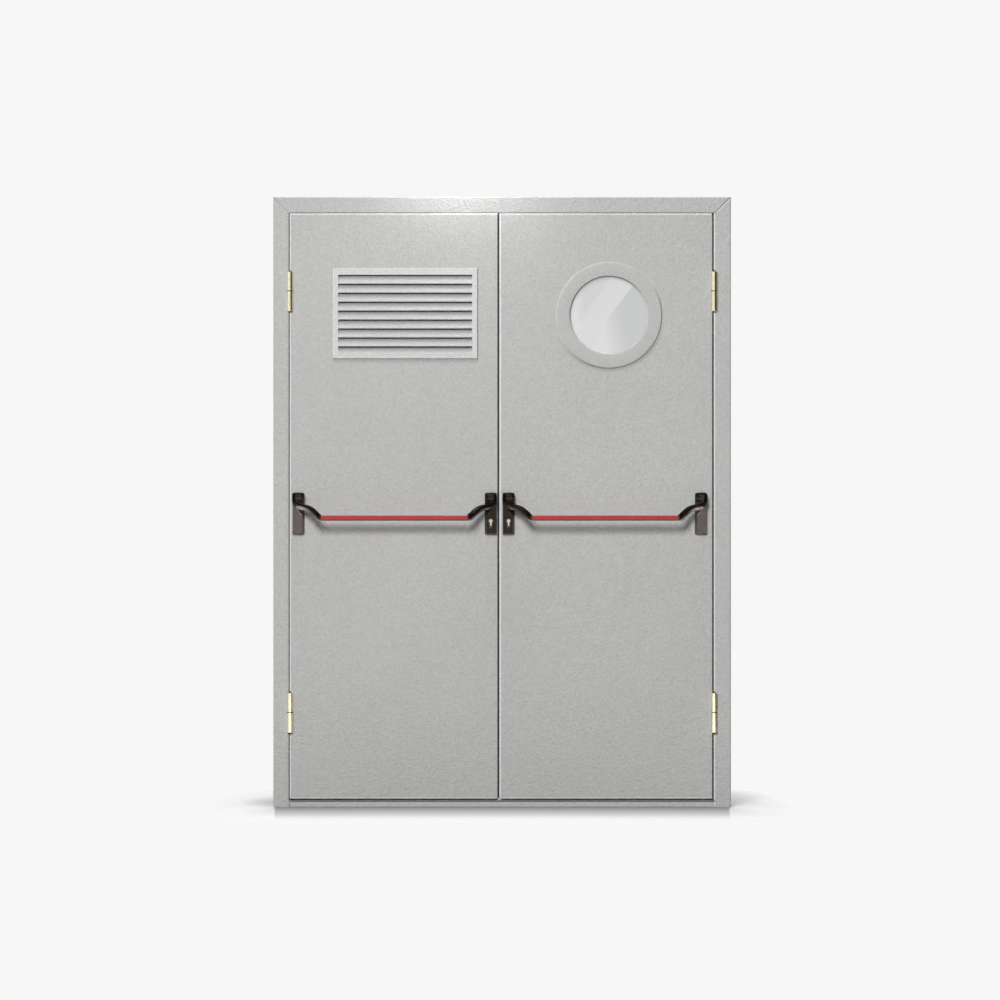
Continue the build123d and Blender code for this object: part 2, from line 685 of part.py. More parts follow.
def push_lever():
    """The drum and its arm in one casting, hollow round the lug, with the pivot pin and the spigot."""
    pivot = Location((UNIT_WIDTH / 2, PIVOT_Y, PIVOT_HEIGHT))
    lever = pivot * lever_drum() + lever_arm()
    lever -= pivot * lug_space()
    lever -= pivot * dish()
    pin = Rotation(0, 90, 0) * Cylinder(PIVOT_PIN_RADIUS, UNIT_WIDTH - 2 * HUB_ROUND)
    spigot = Rotation(0, 90, 0) * Cylinder(BAR_RADIUS - BAR_WALL, BAR_SPIGOT)
    spigot = Location((ARM_REACH + BAR_SPIGOT / 2, BAR_Y, BAR_HEIGHT)) * spigot
    return lever + pivot * pin + spigot


def placed(part, unit):
    """A unit's piece moved to its outer edge, and mirrored where its lever reaches left."""
    edge, reach = UNIT_EDGES[unit]
    turned = mirrored(part) if reach < 0 else part
    return Location((edge, 0, 0)) * turned


def push_bar(side):
    ends = []
    for unit in (f"{side}_pivot", f"{side}_latch"):
        edge, reach = UNIT_EDGES[unit]
        ends.append(edge + reach * ARM_REACH)
    tube = Circle(BAR_RADIUS) - Circle(BAR_RADIUS - BAR_WALL)
    drawing = Plane(origin=(min(ends), BAR_Y, BAR_HEIGHT), z_dir=(1, 0, 0))
    return extrude(drawing * tube, max(ends) - min(ends))


# Key cylinders


def key_cylinder(side):
    body = key_solid(side, 0, COVER_FRONT_Y - KEY_PROUD, LEAF_BACK_Y + ROSETTE_THICKNESS + KEY_PROUD)
    front_y = COVER_FRONT_Y - KEY_PROUD
    keyway = block(
        key_x(side) - KEYWAY_WIDTH / 2,
        key_x(side) + KEYWAY_WIDTH / 2,
        front_y,
        front_y + KEYWAY_DEPTH,
        KEY_HEIGHT - KEYWAY_HEIGHT / 2,
        KEY_HEIGHT + KEYWAY_HEIGHT / 2,
    )
    return body - keyway


def rosette(side):
    """The round-ended plate round the cylinder on the leaf's back."""
    middle_z = KEY_HEIGHT + KEY_RADIUS - (KEY_RADIUS + KEY_BODY_DROP) / 2
    drawing = Plane(
        origin=(key_x(side), LEAF_BACK_Y + ROSETTE_THICKNESS, middle_z),
        x_dir=(1, 0, 0),
        z_dir=(0, -1, 0),
    )
    outline = SlotOverall(ROSETTE_HEIGHT, ROSETTE_WIDTH, rotation=90)
    plate = extrude(drawing * outline, ROSETTE_THICKNESS)
    back = plate.faces().sort_by(Axis.Y)[-1]
    plate = chamfer(back.edges(), ROSETTE_BEVEL)
    back_y = LEAF_BACK_Y + ROSETTE_THICKNESS
    return plate - key_solid(side, KEY_HOLE_GAP, LEAF_BACK_Y - OVERCUT, back_y + OVERCUT)


def build_frame():
    jamb = left_jamb()
    save(jamb, "left_jamb")
    save(mirrored(jamb), "right_jamb")
    save(frame_head(), "frame_head")
    save(threshold(), "threshold")
    save(frame_seal(), "frame_seal")


def build_hinges():
    for level, height in HINGE_HEIGHTS.items():
        frame_half = hinge_frame_half(height)
        leaf_half = hinge_leaf_half(height)
        save(frame_half, f"left_{level}_hinge_frame_half")
        save(mirrored(frame_half), f"right_{level}_hinge_frame_half")
        save(leaf_half, f"left_{level}_hinge_leaf_half")
        save(mirrored(leaf_half), f"right_{level}_hinge_leaf_half")


def build_leaf(side):
    save(leaf_skin(side, True), f"{side}_leaf_front_skin")
    save(leaf_skin(side, False), f"{side}_leaf_back_skin")
    save(leaf_core(side), f"{side}_leaf_core")
    save(forend(side), f"{side}_lock_forend")
    save(meeting_seal(side), f"{side}_meeting_seal")
    save(key_cylinder(side), f"{side}_key_cylinder")
    save(rosette(side), f"{side}_cylinder_rosette")


def build_grille():
    frame = grille_frame()
    blades = grille_blades()
    save(frame, "grille_front_frame")
    save(blades, "grille_front_blades")
    save(on_back(frame), "grille_back_frame")
    save(on_back(blades), "grille_back_blades")


def build_window():
    ring = window_ring()
    save(ring, "window_front_ring")
    save(on_back(ring), "window_back_ring")
    save(window_glass(), "window_glass")
    save(window_seal(), "window_seal")


def build_push_bars():
    cover = lever_cover()
    lever = push_lever()
    for side in ("left", "right"):
        key_hole = key_solid(side, KEY_HOLE_GAP, COVER_FRONT_Y - OVERCUT, FRONT_Y + OVERCUT)
        save(placed(cover, f"{side}_pivot"), f"{side}_pivot_cover")
        save(placed(cover, f"{side}_latch") - key_hole, f"{side}_latch_cover")
        save(placed(lever, f"{side}_pivot"), f"{side}_pivot_lever")
        save(placed(lever, f"{side}_latch"), f"{side}_latch_lever")
        save(push_bar(side), f"{side}_push_bar")


os.makedirs("parts", exist_ok=True)
build_frame()
build_hinges()
build_leaf("left")
build_leaf("right")
build_grille()
build_window()
build_push_bars()
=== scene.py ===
import math

import bpy
import numpy as np
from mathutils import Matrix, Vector


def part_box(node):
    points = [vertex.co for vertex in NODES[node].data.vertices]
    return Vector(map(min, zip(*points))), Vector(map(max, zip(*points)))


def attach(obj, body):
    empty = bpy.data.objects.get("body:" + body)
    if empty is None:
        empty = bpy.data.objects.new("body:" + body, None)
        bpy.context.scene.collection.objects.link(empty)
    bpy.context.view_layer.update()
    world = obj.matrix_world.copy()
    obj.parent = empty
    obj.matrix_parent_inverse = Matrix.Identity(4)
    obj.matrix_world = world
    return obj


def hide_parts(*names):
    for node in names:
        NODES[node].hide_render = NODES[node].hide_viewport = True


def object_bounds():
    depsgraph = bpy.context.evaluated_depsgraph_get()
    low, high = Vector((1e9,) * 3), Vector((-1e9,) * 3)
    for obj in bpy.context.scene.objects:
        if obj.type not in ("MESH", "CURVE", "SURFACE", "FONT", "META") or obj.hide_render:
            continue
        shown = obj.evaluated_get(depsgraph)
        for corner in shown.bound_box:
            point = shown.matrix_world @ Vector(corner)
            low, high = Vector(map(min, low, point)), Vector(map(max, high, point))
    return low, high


# Two-leaf steel fire exit door, closed, dressed for the render. The scene is in metres, as the
# frame is; new shapes are worked out in millimetres.

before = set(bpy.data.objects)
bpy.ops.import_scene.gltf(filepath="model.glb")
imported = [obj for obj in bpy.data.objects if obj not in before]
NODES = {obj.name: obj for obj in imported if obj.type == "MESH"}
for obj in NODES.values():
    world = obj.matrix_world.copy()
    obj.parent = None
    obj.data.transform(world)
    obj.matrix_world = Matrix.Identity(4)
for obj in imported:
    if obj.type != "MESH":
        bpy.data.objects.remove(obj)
CAD_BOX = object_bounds()
MM = 0.001

# Places read from the frame
LEAF_FRONT_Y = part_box("left_leaf_front_skin")[0].y
LEAF_BACK_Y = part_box("left_leaf_back_skin")[1].y
DOOR_TOP = CAD_BOX[1].z
DOOR_SIDE = CAD_BOX[1].x
FACE_WIDTH = 0.055
REBATE_X = DOOR_SIDE - FACE_WIDTH

# Camera: square on, at the height of the middle of the photograph
PHOTO_MM_PER_PIXEL = 3.4426
PHOTO_PIXELS = 1000
CAMERA_LENS = 200.0
CAMERA_SENSOR = 36.0
CAMERA_X = -0.0074
CAMERA_Z = 1.057

# Lamps: name, place, aim, size, power and whether gloss mirrors it
DOOR_AIM = (0.0, 0.0, 1.1)
LAMPS = [
    ("key_lamp", (-1.57, -11.2, 5.2), DOOR_AIM, (3.0, 3.0), 1335.0, False),
    ("side_lamp", (-11.0, -6.6, 4.2), DOOR_AIM, (3.0, 3.0), 55.0, True),
    ("overhead_lamp", (0.0, 1.5, 28.0), (0.0, 0.0, 0.0), (3.0, 12.0), 6200.0, False),
    ("top_lamp", (-0.14, -0.19, 2.36), (-0.14, 0.0, 1.96), (0.10, 0.06), 1.6, True),
    ("back_lamp", (-1.2, 8.5, 0.6), DOOR_AIM, (2.0, 2.0), 26.0, False),
]
BACK_SPREAD = 32.0

# World, floor and cards
BACKGROUND = 0.930
DOME_STRENGTH = 0.08
FLOOR_SEEN = 0.70
FLOOR_BOUNCE = 0.10
FLOOR_HALF_SIZE = 30.0
FLOOR_CLEAR = 0.0002
FLOOR_NEAR = (0.22, 1.10, 1.20)  # kept floor: aside, in front and behind
FLOOR_EDGE = 0.55                # share of it where the fade begins
FRONT_SHADE = (0.42, 0.80)       # darkest tone and reach before the door
FRONT_TAPER = 0.041
SIDE_SHADE = (0.43, 0.16)        # strength at the left and at the right
SIDE_REACH = (0.140, 0.29, 0.40) # aside, then its middle and half length front to back
SHADE_EDGE = (0.010, 0.004)      # softness at the door's sides, in front and beside
LOW_CARD = (3.0, 0.7, 8.0, 0.004)
CARD_HEIGHT = 5.0
CARD_ASIDE = 4.0
CARD_FRONT = 14.0
CARD_BACK = 1.5
CARD_BLACK = 0.01
LOW_CARD_GLOW = ((1.0, 0.97, 0.95), 2.2)
BROWN_CARD_GLOW = ((1.0, 0.58, 0.10), 0.022)


# Node helpers: what they return is the socket that carries a field


def start_material(name):
    """A new material, its tree and its Principled shader."""
    material = bpy.data.materials.new(name)
    material.use_nodes = True
    return material, material.node_tree, material.node_tree.nodes["Principled BSDF"]


def feed(tree, socket, value):
    """Links a field to a socket, or sets the socket itself to a number, direction or colour."""
    if isinstance(value, bpy.types.NodeSocket):
        tree.links.new(value, socket)
    elif socket.type == "RGBA":
        socket.default_value = (*value, 1.0)
    else:
        socket.default_value = value


def set_shader(tree, shader, **values):
    """Feeds the shader's sockets, named with _ for a space."""
    for name, value in values.items():
        feed(tree, shader.inputs[name.replace("_", " ")], value)


def made(tree, kind, inputs, output=0, **settings):
    """One output of a new node, with its settings made and its inputs fed."""
    node = tree.nodes.new(kind)
    for name, value in settings.items():
        setattr(node, name, value)
    for name, value in inputs.items():
        feed(tree, node.inputs[name], value)
    return node.outputs[output]


def object_places(tree, stretch=(1.0, 1.0, 1.0), shift=(0.0, 0.0, 0.0)):
    """Object coordinates, squeezed or stretched along each axis and shifted."""
    source = made(tree, "ShaderNodeTexCoord", {}, "Object")
    return made(tree, "ShaderNodeMapping", {"Vector": source, "Scale": stretch, "Location": shift})


def axes(tree):
    """The X, Y and Z of a place in the door's own frame."""
    split = tree.nodes.new("ShaderNodeSeparateXYZ")
    tree.links.new(object_places(tree), split.inputs[0])
    return tuple(split.outputs)


def noise(tree, places, scale, detail=2.0, roughness=0.5):
    """A cloudy field from 0 to 1 with so many lumps to the metre."""
    inputs = {"Vector": places, "Scale": scale, "Detail": detail, "Roughness": roughness}
    return made(tree, "ShaderNodeTexNoise", inputs, "Fac")


def between(tree, field, low, high, start=0.35, end=0.65):
    """A field's span from start to end, which holds most of a cloud, stretched from low to high."""
    inputs = {"Value": field, "From Min": start, "From Max": end, "To Min": low, "To Max": high}
    return made(tree, "ShaderNodeMapRange", inputs)


def rise(tree, field, *span):
    """0 before the field's span and 1 past it."""
    return between(tree, field, 0.0, 1.0, *span)


def fall(tree, field, *span):
    """1 before the field's span and 0 past it."""
    return between(tree, field, 1.0, 0.0, *span)


def blend(tree, field, first, second):
    """The first colour where the field is 0 and the second where it is 1."""
    return made(tree, "ShaderNodeMix", {"Factor": field, 6: first, 7: second}, 2, data_type="RGBA")


def bump(tree, shader, height, depth, strength):
    """Raises the surface by a field times a depth in millimetres."""
    inputs = {"Height": height, "Distance": depth * MM, "Strength": strength}
    set_shader(tree, shader, Normal=made(tree, "ShaderNodeBump", inputs))


def maths(tree, operation, first, second=0.0):
    return made(tree, "ShaderNodeMath", {0: first, 1: second}, operation=operation)


def product(tree, first, second):
    return maths(tree, "MULTIPLY", first, second)


def minus(tree, first, second):
    return maths(tree, "SUBTRACT", first, second)


def apart(tree, field, place):
    """How far a field is from a number, on either side."""
    return maths(tree, "ABSOLUTE", minus(tree, field, place))


def most(tree, highest, *fields):
    """The highest of some fields."""
    for field in fields:
        highest = maths(tree, "MAXIMUM", highest, field)
    return highest


def length_of(tree, first, second):
    """The root of the sum of two squares."""
    return maths(tree, "SQRT", maths(tree, "ADD", product(tree, first, first), product(tree, second, second)))


def scaled(tree, colour, factor):
    """A colour field times a number field."""
    return made(tree, "ShaderNodeVectorMath", {0: colour, "Scale": factor}, operation="SCALE")


def along(tree, places, direction, *span):
    """0 to 1 as the dot product of a place and a direction goes through a span."""
    inputs = {0: places, 1: direction}
    return rise(tree, made(tree, "ShaderNodeVectorMath", inputs, "Value", operation="DOT_PRODUCT"), *span)


def shade(colour, factor):
    return tuple(channel * factor for channel in colour)


# Paint and the painted shade on it under the grille, round the ring and inside the louvre, in metres
# from the pieces that hold it

# Painted shade: the darkest share, then the reaches of the painted shadows under the grille and round the
# ring
PAINTED_SHADE_DARKEST = 0.66
GRILLE_SHADE_CUT = 0.002
GRILLE_SHADE_REACH = 0.019
GRILLE_SHADE_ENDS = (0.008, 0.006)
RING_SHADE_SPAN = (0.001, 0.016)           # where it begins and ends outside the ring
RING_SHADE_LEAN = (0.15, 0.3, 0.95)   # lean, then the shares of the radius where it begins and is full
LOUVRE_SHADE = (0.26, 0.0165, 0.006)  # darkest share, then how deep it is full and how deep it begins
LOUVRE_LIP = 0.002

# Paint: the noise of its clouds and its skin, the clouds' two tints and the specks of the skin
PAINT_CLOUD = (2.2, 3.0)
PAINT_SKIN = (150.0, 3.0, 0.6)
PAINT_TINTS = (0.98, 1.015)
PAINT_SPECKS = (0.90, 1.085, 0.3, 0.7)


def shade_under_grille(tree):
    """Painted shadow on the leaf paint along the grille's lower edge, fading downwards."""
    low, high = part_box("grille_front_frame")
    x, _, z = axes(tree)
    left, right = GRILLE_SHADE_ENDS
    return most(tree, between(tree, z, 1.0, PAINTED_SHADE_DARKEST, low[2] - GRILLE_SHADE_REACH, low[2]),
                rise(tree, z, low[2], low[2] + GRILLE_SHADE_CUT),
                fall(tree, x, low[0], low[0] + left), rise(tree, x, high[0], high[0] + right))


def shade_under_ring(tree):
    """Painted shadow on the leaf paint round the lower half of the window ring, fading outwards."""
    low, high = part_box("window_front_ring")
    middle, radius = (low + high) / 2, (high[0] - low[0]) / 2
    x, _, z = axes(tree)
    x, z = minus(tree, x, middle[0]), minus(tree, z, middle[2])
    unshaded = between(tree, length_of(tree, x, z), PAINTED_SHADE_DARKEST, 1.0, *(radius + reach for reach in RING_SHADE_SPAN))
    lean, first, last = RING_SHADE_LEAN
    lower = minus(tree, product(tree, x, lean), z)
    return most(tree, unshaded, between(tree, lower, 1.0, PAINTED_SHADE_DARKEST, first * radius, last * radius))


def shade_in_louvre(tree):
    """Full colour at a blade's lip, with painted shade darkening towards the inside of the leaf."""
    middle, lip = (LEAF_FRONT_Y + LEAF_BACK_Y) / 2, (LEAF_BACK_Y - LEAF_FRONT_Y) / 2 + LOUVRE_LIP
    darkest, deep, unshaded = LOUVRE_SHADE
    return between(tree, apart(tree, axes(tree)[1], middle), darkest, 1.0, lip - deep, lip - unshaded)


def stoved_paint(name, colour, roughness, *masks):
    """Pale grey stoved paint with a fine hammered skin, darkened by the painted shade of its masks."""
    material, tree, shader = start_material(name)
    places = object_places(tree)
    skin = noise(tree, places, *PAINT_SKIN)
    cloud = rise(tree, noise(tree, places, *PAINT_CLOUD))
    tone = blend(tree, cloud, *(shade(colour, tint) for tint in PAINT_TINTS))
    tone = scaled(tree, tone, between(tree, skin, *PAINT_SPECKS))
    for mask in masks:
        tone = scaled(tree, tone, mask(tree))
    bump(tree, shader, skin, 5.0, 0.9)
    rough = between(tree, skin, roughness - 0.05, roughness + 0.05)
    set_shader(tree, shader, Base_Color=tone, Roughness=rough, Metallic=0.0, Specular_IOR_Level=0.5)
    return material


# Metals, rubber, board and glass


def grained(name, tint, tones, grain, roughness, depth, strength, metallic=0.0):
    """A finish from two clouds, each (stretch, scale, detail): one tints, the other roughens and raises."""
    material, tree, shader = start_material(name)
    tint, grain = (noise(tree, object_places(tree, stretch), *cloud) for stretch, *cloud in (tint, grain))
    bump(tree, shader, grain, depth, strength)
    set_shader(tree, shader, Base_Color=blend(tree, rise(tree, tint), *tones),
               Roughness=between(tree, grain, *roughness), Metallic=metallic)
    return material


EVEN = (1.0, 1.0, 1.0)


def polished_brass(name, colour, roughness):
    """Turned brass: bright, with hair-fine rings round the barrel."""
    return grained(name, (EVEN, 60.0, 2.0), (shade(colour, 0.93), shade(colour, 1.04)),
                   ((40.0, 40.0, 1500.0), 1.0, 2.0), (roughness - 0.04, roughness + 0.05), 0.02, 0.25, 1.0)


def brushed_steel(name, colour, roughness):
    """Steel brushed up and down."""
    strokes = ((1400.0, 1400.0, 9.0), 1.0, 3.0)
    return grained(name, strokes, (shade(colour, 0.9), shade(colour, 1.06)),
                   strokes, (roughness - 0.05, roughness + 0.07), 0.03, 0.3, 1.0)


def seal_rubber(name):
    """Black rubber with a dull, slightly dusty face."""
    return grained(name, (EVEN, 30.0, 4.0), ((0.018, 0.018, 0.018), (0.034, 0.033, 0.032)),
                   (EVEN, 1200.0, 2.0), (0.6, 0.75), 0.08, 0.3)


def mineral_board(name):
    """Pressed mineral wool, seen only at the cut edges of a leaf."""
    material, tree, shader = start_material(name)
    fibres = noise(tree, object_places(tree, (500.0, 120.0, 500.0)), 1.0, 5.0)
    bump(tree, shader, fibres, 0.5, 0.6)
    tone = blend(tree, rise(tree, fibres), (0.36, 0.31, 0.22), (0.60, 0.54, 0.42))
    set_shader(tree, shader, Base_Color=tone, Roughness=0.9)
    return material


# Places on the lever units, in metres: the middle between them, their outer edges' distance from
# it, the arms' ridge (height, where it starts to fall and how fast), the end of the painted sheen near
# the hub, the line of the painted highlight along the cover's rim (height, slope, bend), its end and its
# band, and the heights below which edges are worn and painted pale as highlights
UNITS_MIDDLE = -0.0085
UNITS_ASIDE = 0.7135
RIDGE_BEND = (1.036, 0.020, 8.5)
RIDGE_EDGE = (-0.001, 0.001)
RIDGE_BEGIN = (0.012, 0.018)
SHEEN_FADE = (0.044, 0.068)
RIM_HIGHLIGHT_LINE = (1.0415, 2.1, -40.0)
RIM_HIGHLIGHT_END = (0.012, 0.015)
RIM_HIGHLIGHT_BAND = ((0.0004, 0.0012), (0.0032, 0.0044))
WEAR_AND_HIGHLIGHT_TOP = (1.047, 1.051)
# Edge wear and the painted edge highlights follow pointiness
WEAR_AND_HIGHLIGHT_SHARP = (0.51, 0.57)  # pointiness where wear begins and where it is full
BAR_SLEEVES = (0.1102, 0.6116)
SLEEVE_EDGE = 0.0004


def from_unit_edge(tree):
    """How far a place lies in from the hinge-side units' outer edges, and its height."""
    x, _, z = axes(tree)
    return minus(tree, UNITS_ASIDE, apart(tree, x, UNITS_MIDDLE)), z


def under_ridge(tree):
    """1 on a hinge-side arm's lower face, which begins below a falling curve and takes a painted sheen."""
    inward, z = from_unit_edge(tree)
    height, start, fast = RIDGE_BEND
    bend = most(tree, minus(tree, inward, start), 0.0)
    line = minus(tree, height, product(tree, product(tree, bend, bend), fast))
    return product(tree, rise(tree, minus(tree, line, z), *RIDGE_EDGE), rise(tree, inward, *RIDGE_BEGIN))


def rim_highlight_bands(tree):
    """1 where the arm meets the cover's rim, for a painted highlight band, and 1 from the band's end onwards.
    """
    inward, z = from_unit_edge(tree)
    top, slope, bend = RIM_HIGHLIGHT_LINE
    curve = maths(tree, "ADD", product(tree, inward, bend), slope)
    gap = minus(tree, minus(tree, top, product(tree, inward, curve)), z)
    near_hub = fall(tree, inward, *RIM_HIGHLIGHT_END)
    return [product(tree, near_hub, rise(tree, gap, *span)) for span in RIM_HIGHLIGHT_BAND]


def sheened_arm(tree, tone, polished):
    """An arm's tone with painted sheen on its lower face and near the hub, and a painted highlight band at
    the rim.
    """
    lower = under_ridge(tree)
    hub_sheen = product(tree, lower, fall(tree, from_unit_edge(tree)[0], *SHEEN_FADE))
    band, beyond = rim_highlight_bands(tree)
    layers = (lower, LOWER_FACE_SHEEN_BROWN), (hub_sheen, polished), (band, polished), (beyond, PIVOT_SHEEN_BROWN)
    for field, colour in layers:
        tone = blend(tree, field, tone, colour)
    return tone


def dark_casting(name, colour, roughness, wear_highlight=0.1, polished=None):
    """Dark cast metal that mirrors the room softly, with a faint grain, worn edges painted pale as highlights
    and arms' painted sheen.
    """
    material, tree, shader = start_material(name)
    places = object_places(tree)
    tone = blend(tree, rise(tree, noise(tree, places, 45.0, 4.0), 0.4, 0.75), colour, shade(colour, 1.2))
    if polished:
        tone = sheened_arm(tree, tone, polished)
    sharp = made(tree, "ShaderNodeNewGeometry", {}, "Pointiness")
    edge = product(tree, fall(tree, axes(tree)[2], *WEAR_AND_HIGHLIGHT_TOP), between(tree, sharp, 0.0, wear_highlight, *WEAR_AND_HIGHLIGHT_SHARP))
    grain = noise(tree, places, 900.0, 3.0, 0.6)
    bump(tree, shader, grain, 0.1, 0.25)
    set_shader(tree, shader, Base_Color=blend(tree, edge, tone, WORN_EDGE_HIGHLIGHT),
               Metallic=between(tree, edge, 0.9, 0.2, 0.0, 1.0),
               Roughness=between(tree, grain, roughness - 0.05, roughness + 0.06), Specular_IOR_Level=0.5)
    return material


def red_lacquer(name, colour):
    """Red lacquer on the push bars, with a slight orange-peel skin and a dark sleeve at each end."""
    material, tree, shader = start_material(name)
    places = object_places(tree)
    aside = apart(tree, axes(tree)[0], UNITS_MIDDLE)
    (near, nearer), (far, farther) = ((edge - SLEEVE_EDGE, edge + SLEEVE_EDGE) for edge in BAR_SLEEVES)
    sleeves = most(tree, fall(tree, aside, near, nearer), rise(tree, aside, far, farther))
    red = blend(tree, rise(tree, noise(tree, places, 14.0, 3.0)), shade(colour, 0.94), shade(colour, 1.05))
    peel = noise(tree, places, 420.0, 2.0)
    bump(tree, shader, peel, 0.1, 0.25)
    set_shader(tree, shader, Base_Color=blend(tree, sleeves, red, LATCH_BROWN),
               Roughness=between(tree, peel, 0.30, 0.38), Metallic=0.0, Specular_IOR_Level=0.3)
    return material


def window_places(tree):
    """Places from the middle of the window."""
    low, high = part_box("window_glass")
    return object_places(tree, shift=-(low + high) / 2)


# The pane's pale tone and the painted reflections laid over it, each where all its (direction, low, high)
# pass
PANE_CLEAR = 0.80
PANE_PALE = (0.755, 0.76, 0.755)
PANE_REFLECTIONS = [
    ((0.725, 0.73, 0.725), ((0.809, 0.0, -0.588), -0.069, -0.073)),
    ((0.80, 0.785, 0.785), ((0.0, 0.0, -1.0), 0.075, 0.135)),
    ((0.635, 0.655, 0.645), ((0.791, 0.0, -0.612), 0.0022, 0.0042), ((1.0, 0.0, 0.18), -0.03, 0.05)),
    ((0.86, 0.89, 0.88), ((-1.0, 0.0, 0.0), 0.085, 0.140)),
]


def window_pane(name):
    """Fire glass with a faint greenish tint and painted reflections: two slanting edges and paler lower and
    left parts.
    """
    material, tree, shader = start_material(name)
    places = window_places(tree)
    cloud = rise(tree, noise(tree, places, 9.0, 1.0))
    tone = blend(tree, cloud, PANE_PALE, shade(PANE_PALE, 1.02))
    for colour, first, *others in PANE_REFLECTIONS:
        field = along(tree, places, *first)
        for other in others:
            field = product(tree, field, along(tree, places, *other))
        tone = blend(tree, field, tone, colour)
    bump(tree, shader, cloud, 0.1, 0.1)
    set_shader(tree, shader, Base_Color=tone, Transmission_Weight=PANE_CLEAR, Roughness=0.05, IOR=1.45)
    return material


def edge_bead(name, towards, radius, clear, deep):
    """Sealing bead round the window, with painted shade towards its direction and a painted highlight
    opposite.
    """
    material, tree, shader = start_material(name)
    places = window_places(tree)
    shaded_side = along(tree, places, towards, clear * radius, deep * radius)
    cloud = between(tree, noise(tree, places, 190.0, 3.0, 0.6), 0.9, 1.08, 0.3, 0.7)
    bump(tree, shader, cloud, 0.4, 0.3)
    tone = scaled(tree, blend(tree, shaded_side, BEAD_LIT, BEAD_SHADED), cloud)
    set_shader(tree, shader, Base_Color=tone, Roughness=0.55)
    return material


# Window beads: a painted highlight on the lit side and painted shade on the shaded side
BEAD_LIT = (0.52, 0.52, 0.51)
BEAD_SHADED = (0.17, 0.17, 0.17)
OUTER_BEAD_RADIUS = 0.181
INNER_BEAD_RADIUS = 0.134
PAINT_GREY = (0.475, 0.475, 0.465)
GRILLE_GREY = (0.615, 0.615, 0.61)
THRESHOLD_GREY = (0.49, 0.49, 0.485)
# Painted highlight on lit edges
HIGHLIGHT_WHITE = (0.72, 0.72, 0.715)
# Grey joint filler in the left mitre, and painted shade in the gaps, on the frame's right edge and under the
# grille
JOINT_AND_SHADE_GREY = (0.30, 0.30, 0.30)
# Painted shadow: near-black strips where the gaps and right-facing edges fall into shade
SHADOW_GREY = (0.045, 0.045, 0.045)
# Dark joint filler in the right mitre, and painted shade over the threshold and beside the grille
DULL_GREY = (0.16, 0.16, 0.16)
LATCH_BROWN = (0.025, 0.0195, 0.0155)
# Pivot-side castings: the latch side's dark metal, painted paler as sheen
PIVOT_SHEEN_BROWN = (0.106, 0.090, 0.085)
PIVOT_LEVER_BROWN = (0.034, 0.028, 0.027)
# Painted sheen on the hinge-side arms: their paler lower face and the brighter part near the hub
LOWER_FACE_SHEEN_BROWN = (0.115, 0.097, 0.090)
ARM_SHEEN_COLOUR = (0.29, 0.245, 0.23)
# Worn edges painted pale as edge highlights, and how strongly the levers take them
WORN_EDGE_HIGHLIGHT = (0.62, 0.55, 0.53)
LEVER_WEAR_HIGHLIGHT = 0.6
BAR_RED = (0.358, 0.042, 0.0425)
HINGE_BRASS = (0.91, 0.84, 0.60)
KEY_BRASS = (0.66, 0.60, 0.46)
LOCK_STEEL = (0.56, 0.56, 0.55)

# What each finish is made with: its maker, its name and the rest
FINISHES = {
    "paint": (stoved_paint, "grey_stoved_paint", PAINT_GREY, 0.40),
    # Leaf paint with painted shadows under the grille and round the window ring
    "leaf": (stoved_paint, "grey_leaf_paint", PAINT_GREY, 0.40, shade_under_grille, shade_under_ring),
    "grille": (stoved_paint, "pale_grille_paint", GRILLE_GREY, 0.44),
    # Blades: the grille's paint painted darker, with painted shade deeper in the louvre
    "blades": (stoved_paint, "pale_blade_paint", shade(GRILLE_GREY, 0.93), 0.5, shade_in_louvre),
    "threshold": (stoved_paint, "worn_threshold_paint", THRESHOLD_GREY, 0.38),
    "strip": (stoved_paint, "white_edge_strip", HIGHLIGHT_WHITE, 0.35),
    "joint": (stoved_paint, "grey_joint_filler", JOINT_AND_SHADE_GREY, 0.6),
    "gasket": (stoved_paint, "dark_edge_gasket", SHADOW_GREY, 0.7),
    "dull": (stoved_paint, "dull_edge_gasket", DULL_GREY, 0.7),
    # Window beads with painted shade towards the lower right outside the ring and the upper left inside it
    "outer_bead": (edge_bead, "ring_outer_bead", (0.6, 0.0, -0.8), OUTER_BEAD_RADIUS, -0.08, 0.5),
    "inner_bead": (edge_bead, "ring_inner_bead", (-0.42, 0.0, 0.91), INNER_BEAD_RADIUS, -0.1, 0.7),
    "brass": (polished_brass, "hinge_brass", HINGE_BRASS, 0.16),
    "key": (polished_brass, "key_cylinder_brass", KEY_BRASS, 0.24),
    "latch": (dark_casting, "latch_side_casting", LATCH_BROWN, 0.30),
    "latch_lever": (dark_casting, "latch_side_lever_casting", LATCH_BROWN, 0.32, LEVER_WEAR_HIGHLIGHT),
    "pivot": (dark_casting, "pivot_side_casting", PIVOT_SHEEN_BROWN, 0.34),
    "left_pivot_lever": (dark_casting, "left_pivot_lever_casting", PIVOT_LEVER_BROWN, 0.34, LEVER_WEAR_HIGHLIGHT,
                         ARM_SHEEN_COLOUR),
    # The right arm's painted sheen is brighter, as the lamps light it less
    "right_pivot_lever": (dark_casting, "right_pivot_lever_casting", PIVOT_LEVER_BROWN, 0.34, LEVER_WEAR_HIGHLIGHT,
                          shade(ARM_SHEEN_COLOUR, 1.5)),
    "rim": (dark_casting, "worn_rim_metal", shade(WORN_EDGE_HIGHLIGHT, 0.6), 0.5, 1.0),
    "red": (red_lacquer, "push_bar_red", BAR_RED),
    "steel": (brushed_steel, "lock_steel", LOCK_STEEL, 0.32),
    "rubber": (seal_rubber, "black_seal_rubber"),
    "board": (mineral_board, "leaf_mineral_board"),
    "glass": (window_pane, "fire_glass"),
}
MATERIALS = {kind: maker(*words) for kind, (maker, *words) in FINISHES.items()}

